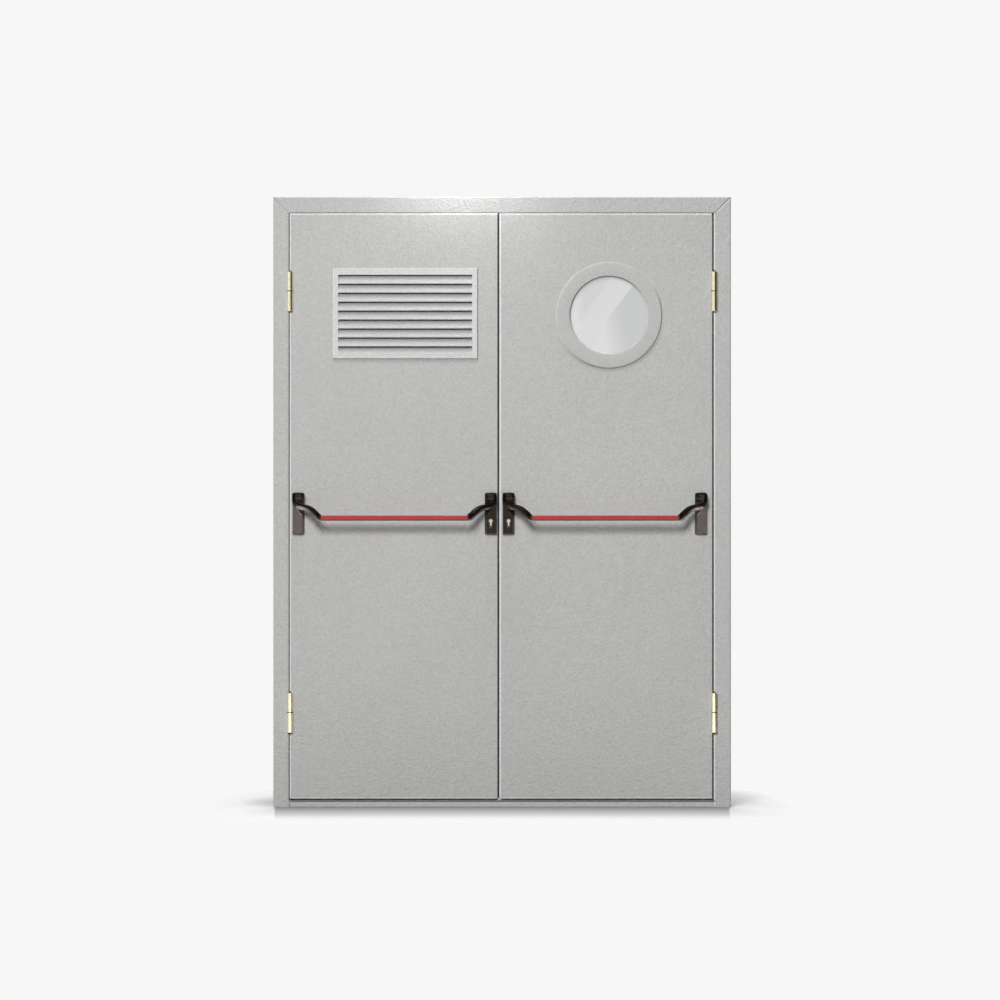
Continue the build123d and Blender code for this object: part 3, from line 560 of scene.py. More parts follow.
# The finish of each CAD node is that of the first word here which its name holds
NODE_FINISH = [
    ("jamb", "paint"), ("frame_head", "paint"), ("threshold", "threshold"), ("front_skin", "leaf"),
    ("skin", "paint"), ("ring", "paint"), ("blades", "blades"), ("grille", "grille"),
    ("hinge", "brass"), ("pivot_cover", "pivot"), ("latch_cover", "latch"), ("pivot_lever", "pivot"),
    ("latch_lever", "latch"), ("push_bar", "red"), ("key_cylinder", "key"), ("rosette", "steel"),
    ("forend", "steel"), ("seal", "rubber"), ("core", "board"), ("glass", "glass"),
]


def dress_nodes():
    for name, node in NODES.items():
        finish = next(kind for word, kind in NODE_FINISH if word in name)
        node.data.materials.clear()
        node.data.materials.append(MATERIALS[finish])


# Numpy shells, in millimetres

FACE = LEAF_FRONT_Y / MM
OUT = (0, -1, 0)


def outwards(points, quads, triangles):
    """Turns every face round where the shell's signed volume, a sum of corner products, is negative."""
    halves = np.concatenate([quads[:, :3], quads[:, [0, 2, 3]], triangles])
    a, b, c = (points[halves[:, i]] for i in range(3))
    if np.einsum("ij,ij->i", a, np.cross(b, c)).sum() < 0:
        quads, triangles = quads[:, ::-1], triangles[:, ::-1]
    return points, quads, triangles


def quads_between(rows, count, around):
    """Faces from each of the first rows of rings to the next, the last of count joining the first."""
    ring, spot = np.meshgrid(np.arange(rows), np.arange(around), indexing="ij")
    this, following = ring * around, (ring + 1) % count * around
    after = (spot + 1) % around
    return np.stack([this + spot, this + after, following + after, following + spot], -1).reshape(-1, 4)


def shell(rings):
    """A closed skin through rings of points, each joined to the next, the end rings to their middles."""
    count, around = rings.shape[:2]
    points = np.concatenate([rings.reshape(-1, 3), rings[:1].mean(1), rings[-1:].mean(1)])
    here = np.arange(around)
    there = (here + 1) % around
    last = (count - 1) * around
    start = np.stack([there, here, np.full(around, count * around)], -1)
    end = np.stack([here + last, there + last, np.full(around, count * around + 1)], -1)
    return outwards(points, quads_between(count - 1, count, around), np.concatenate([start, end]))


def loop_shell(rings):
    """A closed skin through rings of points whose last ring joins the first."""
    count, around = rings.shape[:2]
    return outwards(rings.reshape(-1, 3), quads_between(count, count, around), np.zeros((0, 3), int))


def carried(section, start, end, across, up):
    """Two rings of a section in (across, up) carried straight from start to end."""
    section = np.asarray(section, float)
    offset = section[:, :1] * np.asarray(across, float) + section[:, 1:] * np.asarray(up, float)
    return np.stack([offset + np.asarray(start, float), offset + np.asarray(end, float)])


def revolved(profile, steps):
    """Rings of a profile of (along, radius) about the X axis: y = -radius cos, z = radius sin."""
    profile = np.asarray(profile, float)
    angle = 2 * math.pi * np.arange(steps) / steps
    x = np.repeat(profile[:, :1], steps, 1)
    return np.stack([x, -profile[:, 1:] * np.cos(angle), profile[:, 1:] * np.sin(angle)], -1)


def turned(outline, centre, axis, steps):
    """An outline in (radius, along) turned about an axis: radius cos and radius sin on the other two."""
    outline = np.asarray(outline, float)
    angle = 2 * math.pi * np.arange(steps)[:, None] / steps
    places = [outline[:, 0] * np.cos(angle), outline[:, 0] * np.sin(angle)]
    places.insert(axis, np.repeat(outline[None, :, 1], steps, 0))
    return np.stack(places, -1) + np.asarray(centre, float)


def unit_length(vectors):
    return vectors / np.linalg.norm(vectors, axis=1, keepdims=True)


def box_mm(node):
    """A CAD node's lowest and highest corner in millimetres."""
    low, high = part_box(node)
    return np.array(low) / MM, np.array(high) / MM


def joined(shells):
    """Several shells in one list of points and faces."""
    starts = np.cumsum([0] + [len(points) for points, _, _ in shells])
    points = np.concatenate([points for points, _, _ in shells])
    quads = np.concatenate([quads + start for (_, quads, _), start in zip(shells, starts)])
    triangles = np.concatenate([triangles + start for (_, _, triangles), start in zip(shells, starts)])
    return points, quads, triangles


SHARP_ANGLE = math.radians(35.0)


def add_piece(name, shapes, finish, body):
    """One object from shells, or from rings that still need theirs, smooth but for its sharper edges."""
    shells = [shell(shape) if isinstance(shape, np.ndarray) else shape for shape in shapes]
    points, quads, triangles = joined(shells)
    mesh = bpy.data.meshes.new(name)
    mesh.from_pydata((points * MM).tolist(), [], quads.tolist() + triangles.tolist())
    mesh.materials.append(MATERIALS[finish])
    mesh.shade_smooth()
    mesh.set_sharp_from_angle(angle=SHARP_ANGLE)
    piece = bpy.data.objects.new(name, mesh)
    bpy.context.scene.collection.objects.link(piece)
    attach(piece, body)
    return piece


# Levers, in millimetres in from the unit's outer edge, out from the leaf's face and down from the top

UNITS = {
    "left_pivot": ("left", 1),
    "left_latch": ("left", -1),
    "right_latch": ("right", 1),
    "right_pivot": ("right", -1),
}
UNIT_HALF = 21.0
DRUM_RADIUS = 18.0
DRUM_ROUND = 5.0
DRUM_OUT = 23.5
DRUM_CENTRE = (UNIT_HALF, -DRUM_OUT, -DRUM_RADIUS)
BARREL = 0.10
LUG_HALF = 7.5
LUG_SPACE_RADIUS = 9.5
LUG_RADIUS = 8.5
LUG_HALF_WIDTH = 7.0
LUG_NECK_HALF = 5.0
PIN_RADIUS = 4.0
BORE_GAP = 0.05
DISH = (13.2, -5.0, 10.5, 0.0, 11.0)  # half width, then a height and its reach, below and above
DISH_DEPTH = 4.2
DISH_LIP = (0.9, 0.22, 10.0)          # height, breadth and how far down it fades
SKIN_SHARE = 0.6                      # share of the radius where the skin begins
ARM_END = 99.5
ARM_LOWEST = 97.3
ARM_EASED_FROM = 96.0
ARM_EASED_BY = 0.73
SQUARE_FROM = 84.0
ARM_LEAN = 3.2
LEAN_FROM = 36.0
RIDGE = 5.0
RIDGE_FROM = 12.0
RIDGE_GROWS_OVER = 22.0
RIDGE_AT = -0.15
SPIGOT_RADIUS = 7.5
SPIGOT_LENGTH = 30.0
BAR_DOWN = 88.0
BAR_OUT = 100.0
ROD_EASE = 0.3
ROD_STEPS = 48
DRUM_STEPS = 180
NEAR_AXIS = 0.05  # radius of the ring that closes a turned end

# Arm stations: in, down and out, then the section's turn in degrees, its width and its thickness
ARM_STATIONS = np.array([
    (5.5, 7.0, 33.0, 0.0, 10.0, 8.0),
    (5.5, 16.0, 36.5, 0.0, 11.0, 9.0),
    (6.0, 26.0, 40.5, 0.0, 12.0, 10.0),
    (9.0, 37.0, 44.0, 4.0, 15.0, 11.0),
    (18.0, 46.0, 47.0, 12.0, 18.0, 11.0),
    (32.0, 51.0, 52.5, 25.0, 19.0, 12.0),
    (46.0, 52.5, 59.5, 36.0, 20.0, 13.5),
    (60.0, 58.0, 68.5, 46.0, 21.0, 15.5),
    (73.0, 67.5, 78.5, 54.0, 21.0, 17.0),
    (86.0, 80.0, 89.5, 58.0, 20.5, 18.0),
    (99.5, 91.0, 99.0, 60.0, 18.0, 18.0),
])


def through_stations(stations, steps):
    """A cubic through the stations, whose slope at each is half the way between its neighbours."""
    padded = np.concatenate([2 * stations[:1] - stations[1:2], stations, 2 * stations[-1:] - stations[-2:-1]])
    t = np.arange(steps)[None, :, None] / steps
    p0, p1, p2, p3 = (padded[i:len(padded) - 3 + i, None, :] for i in range(4))
    curve = p1 + 0.5 * t * (p2 - p0 + t * (2 * p0 - 5 * p1 + 4 * p2 - p3 + t * (3 * (p1 - p2) + p3 - p0)))
    return np.concatenate([curve.reshape(-1, stations.shape[1]), stations[-1:]])


def rounded_square(angle, squareness=5.0):
    """The unit superellipse |x|^n + |y|^n = 1 at some angles."""
    return [np.sign(wave) * np.abs(wave) ** (2 / squareness) for wave in (np.cos(angle), np.sin(angle))]


def arm_rings(steps=8, around=72):
    """A superellipse |x/w|^n + |y/t|^n = 1, ridged along its front, carried along the stations and turned."""
    rows = through_stations(ARM_STATIONS, steps)
    centre = np.stack([rows[:, 0], -rows[:, 2], -rows[:, 1]], -1)
    way = unit_length(np.gradient(centre, axis=0))
    out = unit_length(np.array([0.0, -1.0, 0.0]) + way * way[:, 1:2])
    turn = np.radians(rows[:, 3:4])
    across = np.cross(out, way) * np.cos(turn) + out * np.sin(turn)
    through = np.cross(way, across)
    cosine, sine = rounded_square(2 * math.pi * np.arange(around) / around)
    grown = RIDGE * np.clip((rows[:, :1] - RIDGE_FROM) / RIDGE_GROWS_OVER, 0, 1)
    rise_out = grown * (1 - np.abs(cosine - RIDGE_AT) / (1 + abs(RIDGE_AT)))
    thick = rows[:, 5, None] / 2 * sine + rise_out * np.clip(2 * sine, 0, 1)
    wide = rows[:, 4, None] / 2 * cosine
    offset = across[:, None] * wide[..., None] + through[:, None] * thick[..., None]
    square_up = np.clip((rows[:, 0] - SQUARE_FROM) / (ARM_END - SQUARE_FROM), 0, 1)[:, None, None]
    rings = centre[:, None] + (offset - square_up * offset[..., :1] / way[:, None, :1] * way[:, None])
    rings[..., 2] = np.maximum(rings[..., 2], -ARM_LOWEST)
    eased = np.clip(-rings[..., 1] - ARM_EASED_FROM, 0, None)
    rings[..., 1] += (1 - ARM_EASED_BY) * eased
    rings[..., 0] += ARM_LEAN * np.clip((-rings[..., 1] - LEAN_FROM) / (BAR_OUT - LEAN_FROM), 0, None)
    return rings


def pressed_dish(points):
    """A scoop in the drum's front, as deep as the root of 1 - e, with a low lip where e is 1.

    e adds (x/a)^2 and the squares of how far z is past two heights.
    """
    x, y, z = points[..., 0], points[..., 1], points[..., 2]
    wide, low_from, low_over, high_from, high_over = DISH
    below, above = np.clip(low_from - z, 0, None) / low_over, np.clip(z - high_from, 0, None) / high_over
    edge = (x / wide) ** 2 + below ** 2 + above ** 2
    depth = DISH_DEPTH * np.sqrt(np.clip(1 - edge, 0, 1)) * (y < 0)
    high, broad, fade = DISH_LIP
    lip = high * np.exp(-((edge - 1) / broad) ** 2) * (y < 0) * np.clip((high_from - z) / fade, 0, 1)
    radius = np.maximum(np.hypot(y, z), 0.1)
    share = np.where(radius > SKIN_SHARE * DRUM_RADIUS, (lip - depth) / radius, 0)
    pressed = points.copy()
    pressed[..., 1] += y * share
    pressed[..., 2] += z * share
    return pressed


def barrelled(rings):
    """The drum's skin drawn in towards its ends: radius less a share of (along / half length) squared."""
    factor = 1 - BARREL * (rings[..., :1] / UNIT_HALF) ** 2
    return rings * np.concatenate([np.ones_like(factor), factor, factor], -1)


def drum_shells():
    """Two round-edged discs and the half ring between them that leaves room for the bearing lug."""
    corner = np.linspace(0, math.pi / 2, 9)
    inner, flat = DRUM_RADIUS - DRUM_ROUND, UNIT_HALF - DRUM_ROUND
    disc = revolved(np.concatenate([
        np.linspace((UNIT_HALF, NEAR_AXIS), (UNIT_HALF, inner - 0.5), 6),
        np.stack([flat + DRUM_ROUND * np.cos(corner), inner + DRUM_ROUND * np.sin(corner)], -1),
        np.linspace((flat - 0.7, DRUM_RADIUS), (LUG_HALF, DRUM_RADIUS), 13),
        np.linspace((LUG_HALF, DRUM_RADIUS - 0.4), (LUG_HALF, NEAR_AXIS), 12),
    ]), DRUM_STEPS)
    outer = np.linspace((-LUG_HALF, DRUM_RADIUS), (LUG_HALF, DRUM_RADIUS), 23)
    wall = np.linspace((LUG_HALF, DRUM_RADIUS), (LUG_HALF, LUG_SPACE_RADIUS), 9)[1:-1]
    inside = outer[::-1] * (1, LUG_SPACE_RADIUS / DRUM_RADIUS)
    section = np.concatenate([outer, wall, inside, wall[::-1] * (-1, 1)])
    angle = np.linspace(-math.pi / 2, math.pi / 2, 91)[:, None]
    x = np.repeat(section[None, :, 0], len(angle), 0)
    half_ring = np.stack([x, -section[:, 1] * np.cos(angle), section[:, 1] * np.sin(angle)], -1)
    return [pressed_dish(barrelled(rings)) for rings in (disc, disc * (-1, 1, 1), half_ring)]


def plain_rod(x1, x2, radius, y, z):
    """A round rod along X with slightly eased ends."""
    ease, small = ROD_EASE, radius - ROD_EASE
    ends = (x1, small), (x1 + ease, radius), (x2 - ease, radius), (x2, small)
    return revolved(ends, ROD_STEPS) + (0, y, z)


def lever_shells():
    """One lever casting about its unit's outer edge and top, reaching towards +X."""
    drum = [rings + DRUM_CENTRE for rings in drum_shells()]
    pin = plain_rod(DRUM_ROUND, 2 * UNIT_HALF - DRUM_ROUND, PIN_RADIUS, -DRUM_OUT, -DRUM_RADIUS)
    spigot = plain_rod(ARM_END - 1, ARM_END + SPIGOT_LENGTH, SPIGOT_RADIUS, -BAR_OUT, -BAR_DOWN)
    return [*drum, arm_rings(), pin, spigot]


# Lever covers, in millimetres across from the unit's outer edge and down from its top. The chute is a
# round trough below the rim line: its radius, its axis in front of the block and aside of the line

UNIT_HEIGHT = 144.0
PLATE = 4.0
PLATE_ROUND = 1.2
COVER_DEPTH = 21.5
BODY_FROM = 40.0
TOP_CORNER = 8.0
BOTTOM_CORNER = 3.0
CROWN = 2.2
CROWN_OVER = 20.0
SLOPES = {"outer": 2.2, "inner": 7.0, "bottom": 3.2, "top": 3.0}
EDGE_BLEND = 0.5
RIM_BLEND = 0.45
CHUTE_RADIUS = 36.0
CHUTE_IN_FRONT = 17.5
CHUTE_ASIDE = 31.46
RIM_LINE = (33.2, 1.744, -0.01217)
RIM_ENDS = (2.5, 0.5)
RIM_TAPER = 4.0

# The cover's rows as (from, to, step), where its last rows start and how many they are, its columns
# across and how far those crowd towards the edges
COVER_ROWS = [(0, 8, 0.4), (8, 38, 2.0), (38, 139, 0.7)]
LAST_ROWS = (139, 14)
COLUMNS = 81
CROWDING = 0.8


def softer_min(a, b, blend):
    """The lower of two heights with their meeting rounded: -k log(exp(-a/k) + exp(-b/k))."""
    return -blend * np.logaddexp(-a / blend, -b / blend)


def rim_line(across):
    """How far down the chute's rim runs: a + b x + c x^2."""
    a, b, c = RIM_LINE
    return a + b * across + c * across ** 2


def cover_height(across, down, inset):
    """How far the cover stands out: a rounded plate, and a block with sloping sides less a round chute."""
    width = 2 * UNIT_HALF
    edge = np.minimum.reduce([across - inset, width - inset - across, down, UNIT_HEIGHT - down])
    plate = PLATE * np.sqrt(1 - (1 - np.clip(edge / PLATE_ROUND, 0, 1)) ** 2)
    sides = [across / SLOPES["outer"], (width - across) / SLOPES["inner"],
             (UNIT_HEIGHT - down) / SLOPES["bottom"], (down - BODY_FROM) / SLOPES["top"]]
    block = softer_min(COVER_DEPTH * np.minimum.reduce(sides), np.full_like(across, COVER_DEPTH), EDGE_BLEND)
    steep = RIM_LINE[1] + 2 * RIM_LINE[2] * across
    uphill = (rim_line(across) - down) / np.sqrt(1 + steep ** 2)
    inside = np.maximum(CHUTE_RADIUS ** 2 - (uphill - CHUTE_ASIDE) ** 2, 0)
    chute = np.where(uphill > CHUTE_ASIDE, PLATE - 1, COVER_DEPTH + CHUTE_IN_FRONT - np.sqrt(inside))
    return np.where(down > BODY_FROM - 0.5, np.maximum(plate, softer_min(block, chute, RIM_BLEND)), plate)


def corner_inset(radius, past):
    """How far a round corner draws an edge in, where its height is so far past the corner's start."""
    return radius - np.sqrt(radius ** 2 - np.clip(past, 0, None) ** 2)


def cover_rings():
    """The cover row by row from its top: the front skin across, then the flat back across again."""
    last, count = LAST_ROWS
    down = np.concatenate([*(np.arange(*span) for span in COVER_ROWS), np.linspace(last, UNIT_HEIGHT, count)])
    inset = np.maximum(corner_inset(TOP_CORNER, TOP_CORNER - down),
                       corner_inset(BOTTOM_CORNER, BOTTOM_CORNER - (UNIT_HEIGHT - down)))[:, None]
    step = np.linspace(0, 1, COLUMNS)
    spread = step - CROWDING * np.sin(2 * math.pi * step) / (2 * math.pi)
    across = inset + spread * (2 * UNIT_HALF - 2 * inset)
    rows = np.repeat(down[:, None], len(step), 1)
    height = cover_height(across, rows, inset)
    crown = CROWN * ((across - UNIT_HALF) / UNIT_HALF) ** 2 * np.clip(1 - rows / CROWN_OVER, 0, 1)
    front = np.stack([across, -height, -rows - crown], -1)
    back = front[:, ::-8] * (1, 0, 1)
    return np.concatenate([front, back[:, 1:-1]], 1)


def rim_rings(radius=1.1, sunk=0.2, steps=60, around=12):
    """The chute's rim bead: a circle carried along the line where the chute meets the block."""
    start, short = RIM_ENDS
    across = np.linspace(start, 2 * UNIT_HALF - SLOPES["inner"] - short, steps)
    down = rim_line(across)
    height = cover_height(across[:, None], down[:, None], 0.0)[:, 0]
    centre = np.stack([across, -height + sunk, -down], -1)
    way = unit_length(np.gradient(centre, axis=0))
    side = unit_length(np.cross(way, (0.0, -1.0, 0.0)))
    out = np.cross(side, way)
    angle = 2 * math.pi * np.arange(around)[:, None] / around
    from_end = np.minimum(across - (start - short), across[-1] + short - across)
    taper = radius * np.clip(from_end / RIM_TAPER, 0.1, 1)[:, None, None]
    return centre[:, None] + taper * (side[:, None] * np.cos(angle) + out[:, None] * np.sin(angle))


def lug_shells():
    """The bearing lug inside the drum, a bored round, and its neck back to the plate."""
    bore, half, thick = PIN_RADIUS + BORE_GAP, LUG_HALF_WIDTH, LUG_NECK_HALF
    profile = [(-half, bore), (-half, LUG_RADIUS), (half, LUG_RADIUS), (half, bore)]
    section = [(-half, -thick), (half, -thick), (half, thick), (-half, thick)]
    start = (UNIT_HALF, -DRUM_OUT + thick, -DRUM_RADIUS)
    neck = carried(section, start, (UNIT_HALF, -PLATE / 2, -DRUM_RADIUS), (1, 0, 0), (0, 0, 1))
    return revolved(profile, ROD_STEPS).swapaxes(0, 1) + DRUM_CENTRE, neck


def at_unit(rings, unit, reach):
    """Rings moved to the unit's outer edge, the leaf's face and the unit's top, reaching its own way."""
    low, high = box_mm(f"{unit}_cover")
    return rings * (reach, 1, 1) + np.array([low[0] if reach > 0 else high[0], FACE, high[2]])


def add_covers():
    for unit, (side, reach) in UNITS.items():
        shapes = cover_rings(), rim_rings(), *lug_shells()
        cover, rim, ring, neck = (at_unit(rings, unit, reach) for rings in shapes)
        kind, body = unit.split("_")[1], f"{side}_leaf"
        # On the pivot units the rim bead takes a pale worn finish as a painted highlight
        add_piece(f"{unit}_chute_rim", [rim], "rim" if kind == "pivot" else kind, body)
        shapes = [cover, loop_shell(ring), neck]
        casting = add_piece(f"{unit}_cover_casting", shapes, kind, body)
        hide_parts(f"{unit}_cover")


def add_levers():
    for unit, (side, reach) in UNITS.items():
        shapes = [at_unit(rings, unit, reach) for rings in lever_shells()]
        finish = f"{unit}_lever" if "pivot" in unit else "latch_lever"
        lever = add_piece(f"{unit}_lever_casting", shapes, finish, f"{side}_bar")
        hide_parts(f"{unit}_lever")


# Lips in the gaps between leaves and frame, pale as painted edge highlights: (reach, how far over the edge)

HINGE_MARGIN = 4.0
LEAF_LIP = (3.7, 1.0)
JAMB_LIP = (3.9, 1.3)
TOP_LIP = (4.2, 1.6)
MEETING_LIP = (3.4, 2.8)
TOP_LIP_SHORT = {"left": 3.6, "right": 6.0}
LIP_LOW = 1.0
LIP_SHORT = 0.2
JAMB_LIP_PAST = 0.6
THRESHOLD_CLEAR = 24.0
LEFT_LEAF = box_mm("left_leaf_front_skin")
RIGHT_LEAF = box_mm("right_leaf_front_skin")
LEAVES = (("left", *LEFT_LEAF), ("right", *RIGHT_LEAF))


def lip_section(reach, over):
    """A rounded lip: across runs from inside the gap over the edge, up runs out of the gap to the face."""
    return [(0.0, -3.4), (0.0, -1.4), (0.5, -0.5), (1.4, 0.0), (reach + over - 0.6, 0.1),
            (reach + over, -0.1), (reach + over - 0.4, -1.2), (reach + 0.6, -3.4)]


def between_hinges(low_z, high_z):
    """The runs of a side gap that the hinges leave free."""
    runs = [low_z]
    for height in ("lower", "upper"):
        low, _ = box_mm(f"left_{height}_hinge_frame_half")
        _, high = box_mm(f"left_{height}_hinge_leaf_half")
        runs += [low[2] - HINGE_MARGIN, high[2] + HINGE_MARGIN]
    runs.append(high_z)
    return list(zip(runs[::2], runs[1::2]))


def add_lips():
    """Lips at the left leaf's hinge edge, the right jamb, the meeting edge and both tops, white as painted
    highlights.
    """
    head = LEFT_LEAF[1][2] + TOP_LIP[0]
    ends = LEFT_LEAF[0][2] + LIP_LOW, head - LIP_SHORT
    jamb_spans = between_hinges(THRESHOLD_CLEAR, head + JAMB_LIP_PAST)
    uprights = [
        ("left_leaf_hinge_lip", "left_leaf", LEFT_LEAF[0][0], LEAF_LIP, between_hinges(*ends)),
        ("right_jamb_lip", "frame", REBATE_X / MM, JAMB_LIP, jamb_spans),
        ("right_leaf_meeting_lip", "right_leaf", RIGHT_LEAF[0][0], MEETING_LIP, [ends]),
    ]
    for name, body, edge, lip, spans in uprights:
        x, section = edge - lip[0], lip_section(*lip)
        rows = [carried(section, (x, FACE, z1), (x, FACE, z2), (1, 0, 0), OUT) for z1, z2 in spans]
        add_piece(name, rows, "strip", body)
    for side, low, high in LEAVES:
        start, end = (low[0] - 1.0, FACE, head), (high[0] - TOP_LIP_SHORT[side], FACE, head)
        row = carried(lip_section(*TOP_LIP), start, end, (0, 0, -1), OUT)
        add_piece(f"{side}_leaf_top_lip", [row], "strip", f"{side}_leaf")


# Flat strips on the front face: mitre fillers, and painted shade and highlight lines in the gaps, on the
# frame and round the grille

PROUD = 0.12
GRILLE_LINE_PROUD = 0.4
RIM_PROUD = 0.15
STRIP_ROOT = 1.0
STRIP_EASE = 0.3
MITRE_ROOT = 6.0
MITRE_END = 0.4

# Name, side, width, shift across the mitre and finish
MITRES = [
    ("left_mitre_joint", -1, 2.2, 0.0, "joint"),
    ("right_mitre_joint", 1, 3.2, -1.2, "dull"),
    # A painted highlight on the cut edge beside the right mitre
    ("right_mitre_highlight", 1, 4.2, 2.7, "strip"),
]


def strip_section(width, proud, root):
    """A flat strip with eased edges, in (across, out)."""
    half = width / 2
    top = half - STRIP_EASE
    return [(-half, -root), (-half, 0), (-top, proud), (top, proud), (half, 0), (half, -root)]


def add_mitre_joints():
    """The grey filler in the frame's two mitres, and a painted highlight on the cut edge beside the right
    one.
    """
    for name, sign, width, shift, finish in MITRES:
        across, way = np.array([sign, 0, -1]) / math.sqrt(2), np.array([-sign, 0, -1])
        short = (abs(shift) + width / 2) * math.sqrt(2) / 2 + MITRE_END
        middle = np.array([sign * DOOR_SIDE / MM, FACE, DOOR_TOP / MM]) + across * shift
        ends = middle + way * short, middle + way * (FACE_WIDTH / MM - short)
        row = carried(strip_section(width, PROUD, MITRE_ROOT), *ends, across, OUT)
        add_piece(name, [row], finish, "frame")


def strip_row(start, end, width, face, proud):
    """A flat strip carried between two (x, z) places on the face."""
    way = np.array([end[0] - start[0], 0, end[1] - start[1]])
    across = np.cross(way / np.linalg.norm(way), OUT)
    section = strip_section(width, proud, STRIP_ROOT)
    return carried(section, (start[0], face, start[1]), (end[0], face, end[1]), across, OUT)


def add_strips():
    """Painted shade and highlight lines: rows of name, finish, place, width, (face, proud) and (x, z) places
    to run through.
    """
    grille_low, grille_high = box_mm("grille_front_frame")
    threshold_low, threshold_high = box_mm("threshold")
    rebate, top = REBATE_X / MM, DOOR_TOP / MM
    low, high = LEFT_LEAF[0][2], LEFT_LEAF[1][2]
    head, foot, end = high + 5, low + 2, high - 0.2
    above, sill, lip = head + 1.8, threshold_high[2] - 3.2, low + 1.9
    outer, inner, jamb = DOOR_SIDE / MM - 2.2, -rebate - 2.6, rebate - 1.0
    shadow_x, shadow_z = grille_high[0] + 1.4, grille_low[2] - 1.6
    pale_x, pale_z = grille_low[0] + 1.3, grille_high[2] - 1.3
    left_x, right_x = LEFT_LEAF[1][0] - 2.0, RIGHT_LEAF[1][0] - 2.9
    flush, bead, rim = (FACE, PROUD), (FACE, GRILLE_LINE_PROUD), (grille_low[1] - 0.1, RIM_PROUD)
    sill_face = (threshold_low[1], PROUD)
    # Painted highlights along the leaves' lower edges, in the grille's paler paint
    foot_highlights = [(f"{side}_leaf_foot_lip", "grille", f"{side}_leaf", 3.4, flush,
                  (first[0] + 3, lip), (last[0] - 5, lip)) for side, first, last in LEAVES]
    # Dark rows are painted shade in gaps and on shaded edges, pale rows painted highlights on lit edges
    strips = [
        ("left_rebate_line", "joint", "frame", 4.8, flush, (inner, 24), (inner, head)),
        ("head_rebate_line", "joint", "frame", 3.2, flush, (-rebate, above), (rebate, above)),
        ("right_outer_line", "joint", "frame", 3.4, flush, (outer, 2), (outer, top - 2)),
        ("right_jamb_foot_line", "strip", "frame", 4.4, flush, (jamb, 1), (jamb, THRESHOLD_CLEAR - 0.2)),
        ("threshold_line", "dull", "frame", 5.8, sill_face, (-rebate + 1, sill), (rebate - 1, sill)),
        *foot_highlights,
        # Painted shadow in the gaps at the meeting edge and the right leaf's hinge edge
        ("left_leaf_meeting_gasket", "gasket", "left_leaf", 3.8, flush, (left_x, foot), (left_x, end)),
        ("right_leaf_hinge_gasket", "gasket", "right_leaf", 4.0, flush, (right_x, foot), (right_x, end)),
        # Painted shadow right of and below the grille, then a painted highlight along its left and upper
        # edges
        ("grille_side_bead", "dull", "grille", 2.8, bead,
         (shadow_x, shadow_z), (shadow_x, grille_high[2] - 1)),
        ("grille_lower_bead", "joint", "grille", 3.2, bead,
         (grille_low[0] + 1, shadow_z), (shadow_x - 1.4, shadow_z)),
        ("grille_bright_edge", "strip", "grille", 2.4, rim,
         (pale_x, grille_low[2] + 1), (pale_x, pale_z), (grille_high[0] - 1, pale_z)),
    ]
    for name, finish, place, width, plane, *corners in strips:
        rows = [strip_row(start, end, width, *plane) for start, end in zip(corners, corners[1:])]
        body = "left_leaf" if place == "grille" else place
        add_piece(name, rows, finish, body)


# Sweeps, washers and screws

SWEEP_LOW = 24.7
SWEEP_SHORT = 3.0
HINGE_RADIUS = 10.0
WASHER = [(9.7, -2.7), (10.3, -2.5), (10.4, -1.4), (10.3, -0.4), (9.7, -0.2)]
WASHER_STEPS = 72
SCREW = [(3.6, -1.0), (3.6, 0.4), (3.0, 1.0), (1.6, 1.3), (0.8, 1.3), (0.7, 0.5)]
SCREW_STEPS = 9
GRILLE_SCREWS_IN = 9.0
RING_SCREWS_IN = 22.5
RING_SCREWS = 8
ROSETTE_SCREWS_IN = 8.0


def add_sweeps():
    """A rubber sweep under each leaf: a rounded lip hanging from its bottom edge down to the threshold."""
    for side, low, high in LEAVES:
        drop = SWEEP_LOW - low[2]
        section = [(0, 0), (0.15, drop + 0.8), (-0.6, drop), (-3.0, drop), (-3.8, drop + 0.8), (-3.8, -0.1),
                   (-0.3, 0.2)]
        start, end = (low[0] + SWEEP_SHORT, FACE, low[2]), (high[0] - SWEEP_SHORT, FACE, low[2])
        row = carried(section, start, end, OUT, (0, 0, 1))
        add_piece(f"{side}_leaf_sweep", [row], "rubber", f"{side}_leaf")


def add_hinge_shade_washers():
    """A rounded outline turned about each hinge pin, just under the leaf's half: a black washer that also
    stands for the shade in the split.
    """
    for side in ("left", "right"):
        shells = []
        for height in ("lower", "upper"):
            low, high = box_mm(f"{side}_{height}_hinge_leaf_half")
            centre = ((low[0] + high[0]) / 2, low[1] + HINGE_RADIUS, low[2])
            shells.append(loop_shell(turned(WASHER, centre, 2, WASHER_STEPS)))
        add_piece(f"{side}_hinge_shade_washers", shells, "rubber", "frame")


def screw_heads(places, y):
    """Low domed heads with a round socket, each an outline turned about Y."""
    return [turned(SCREW, (x, y, z), 1, SCREW_STEPS).swapaxes(0, 1) for x, z in places]


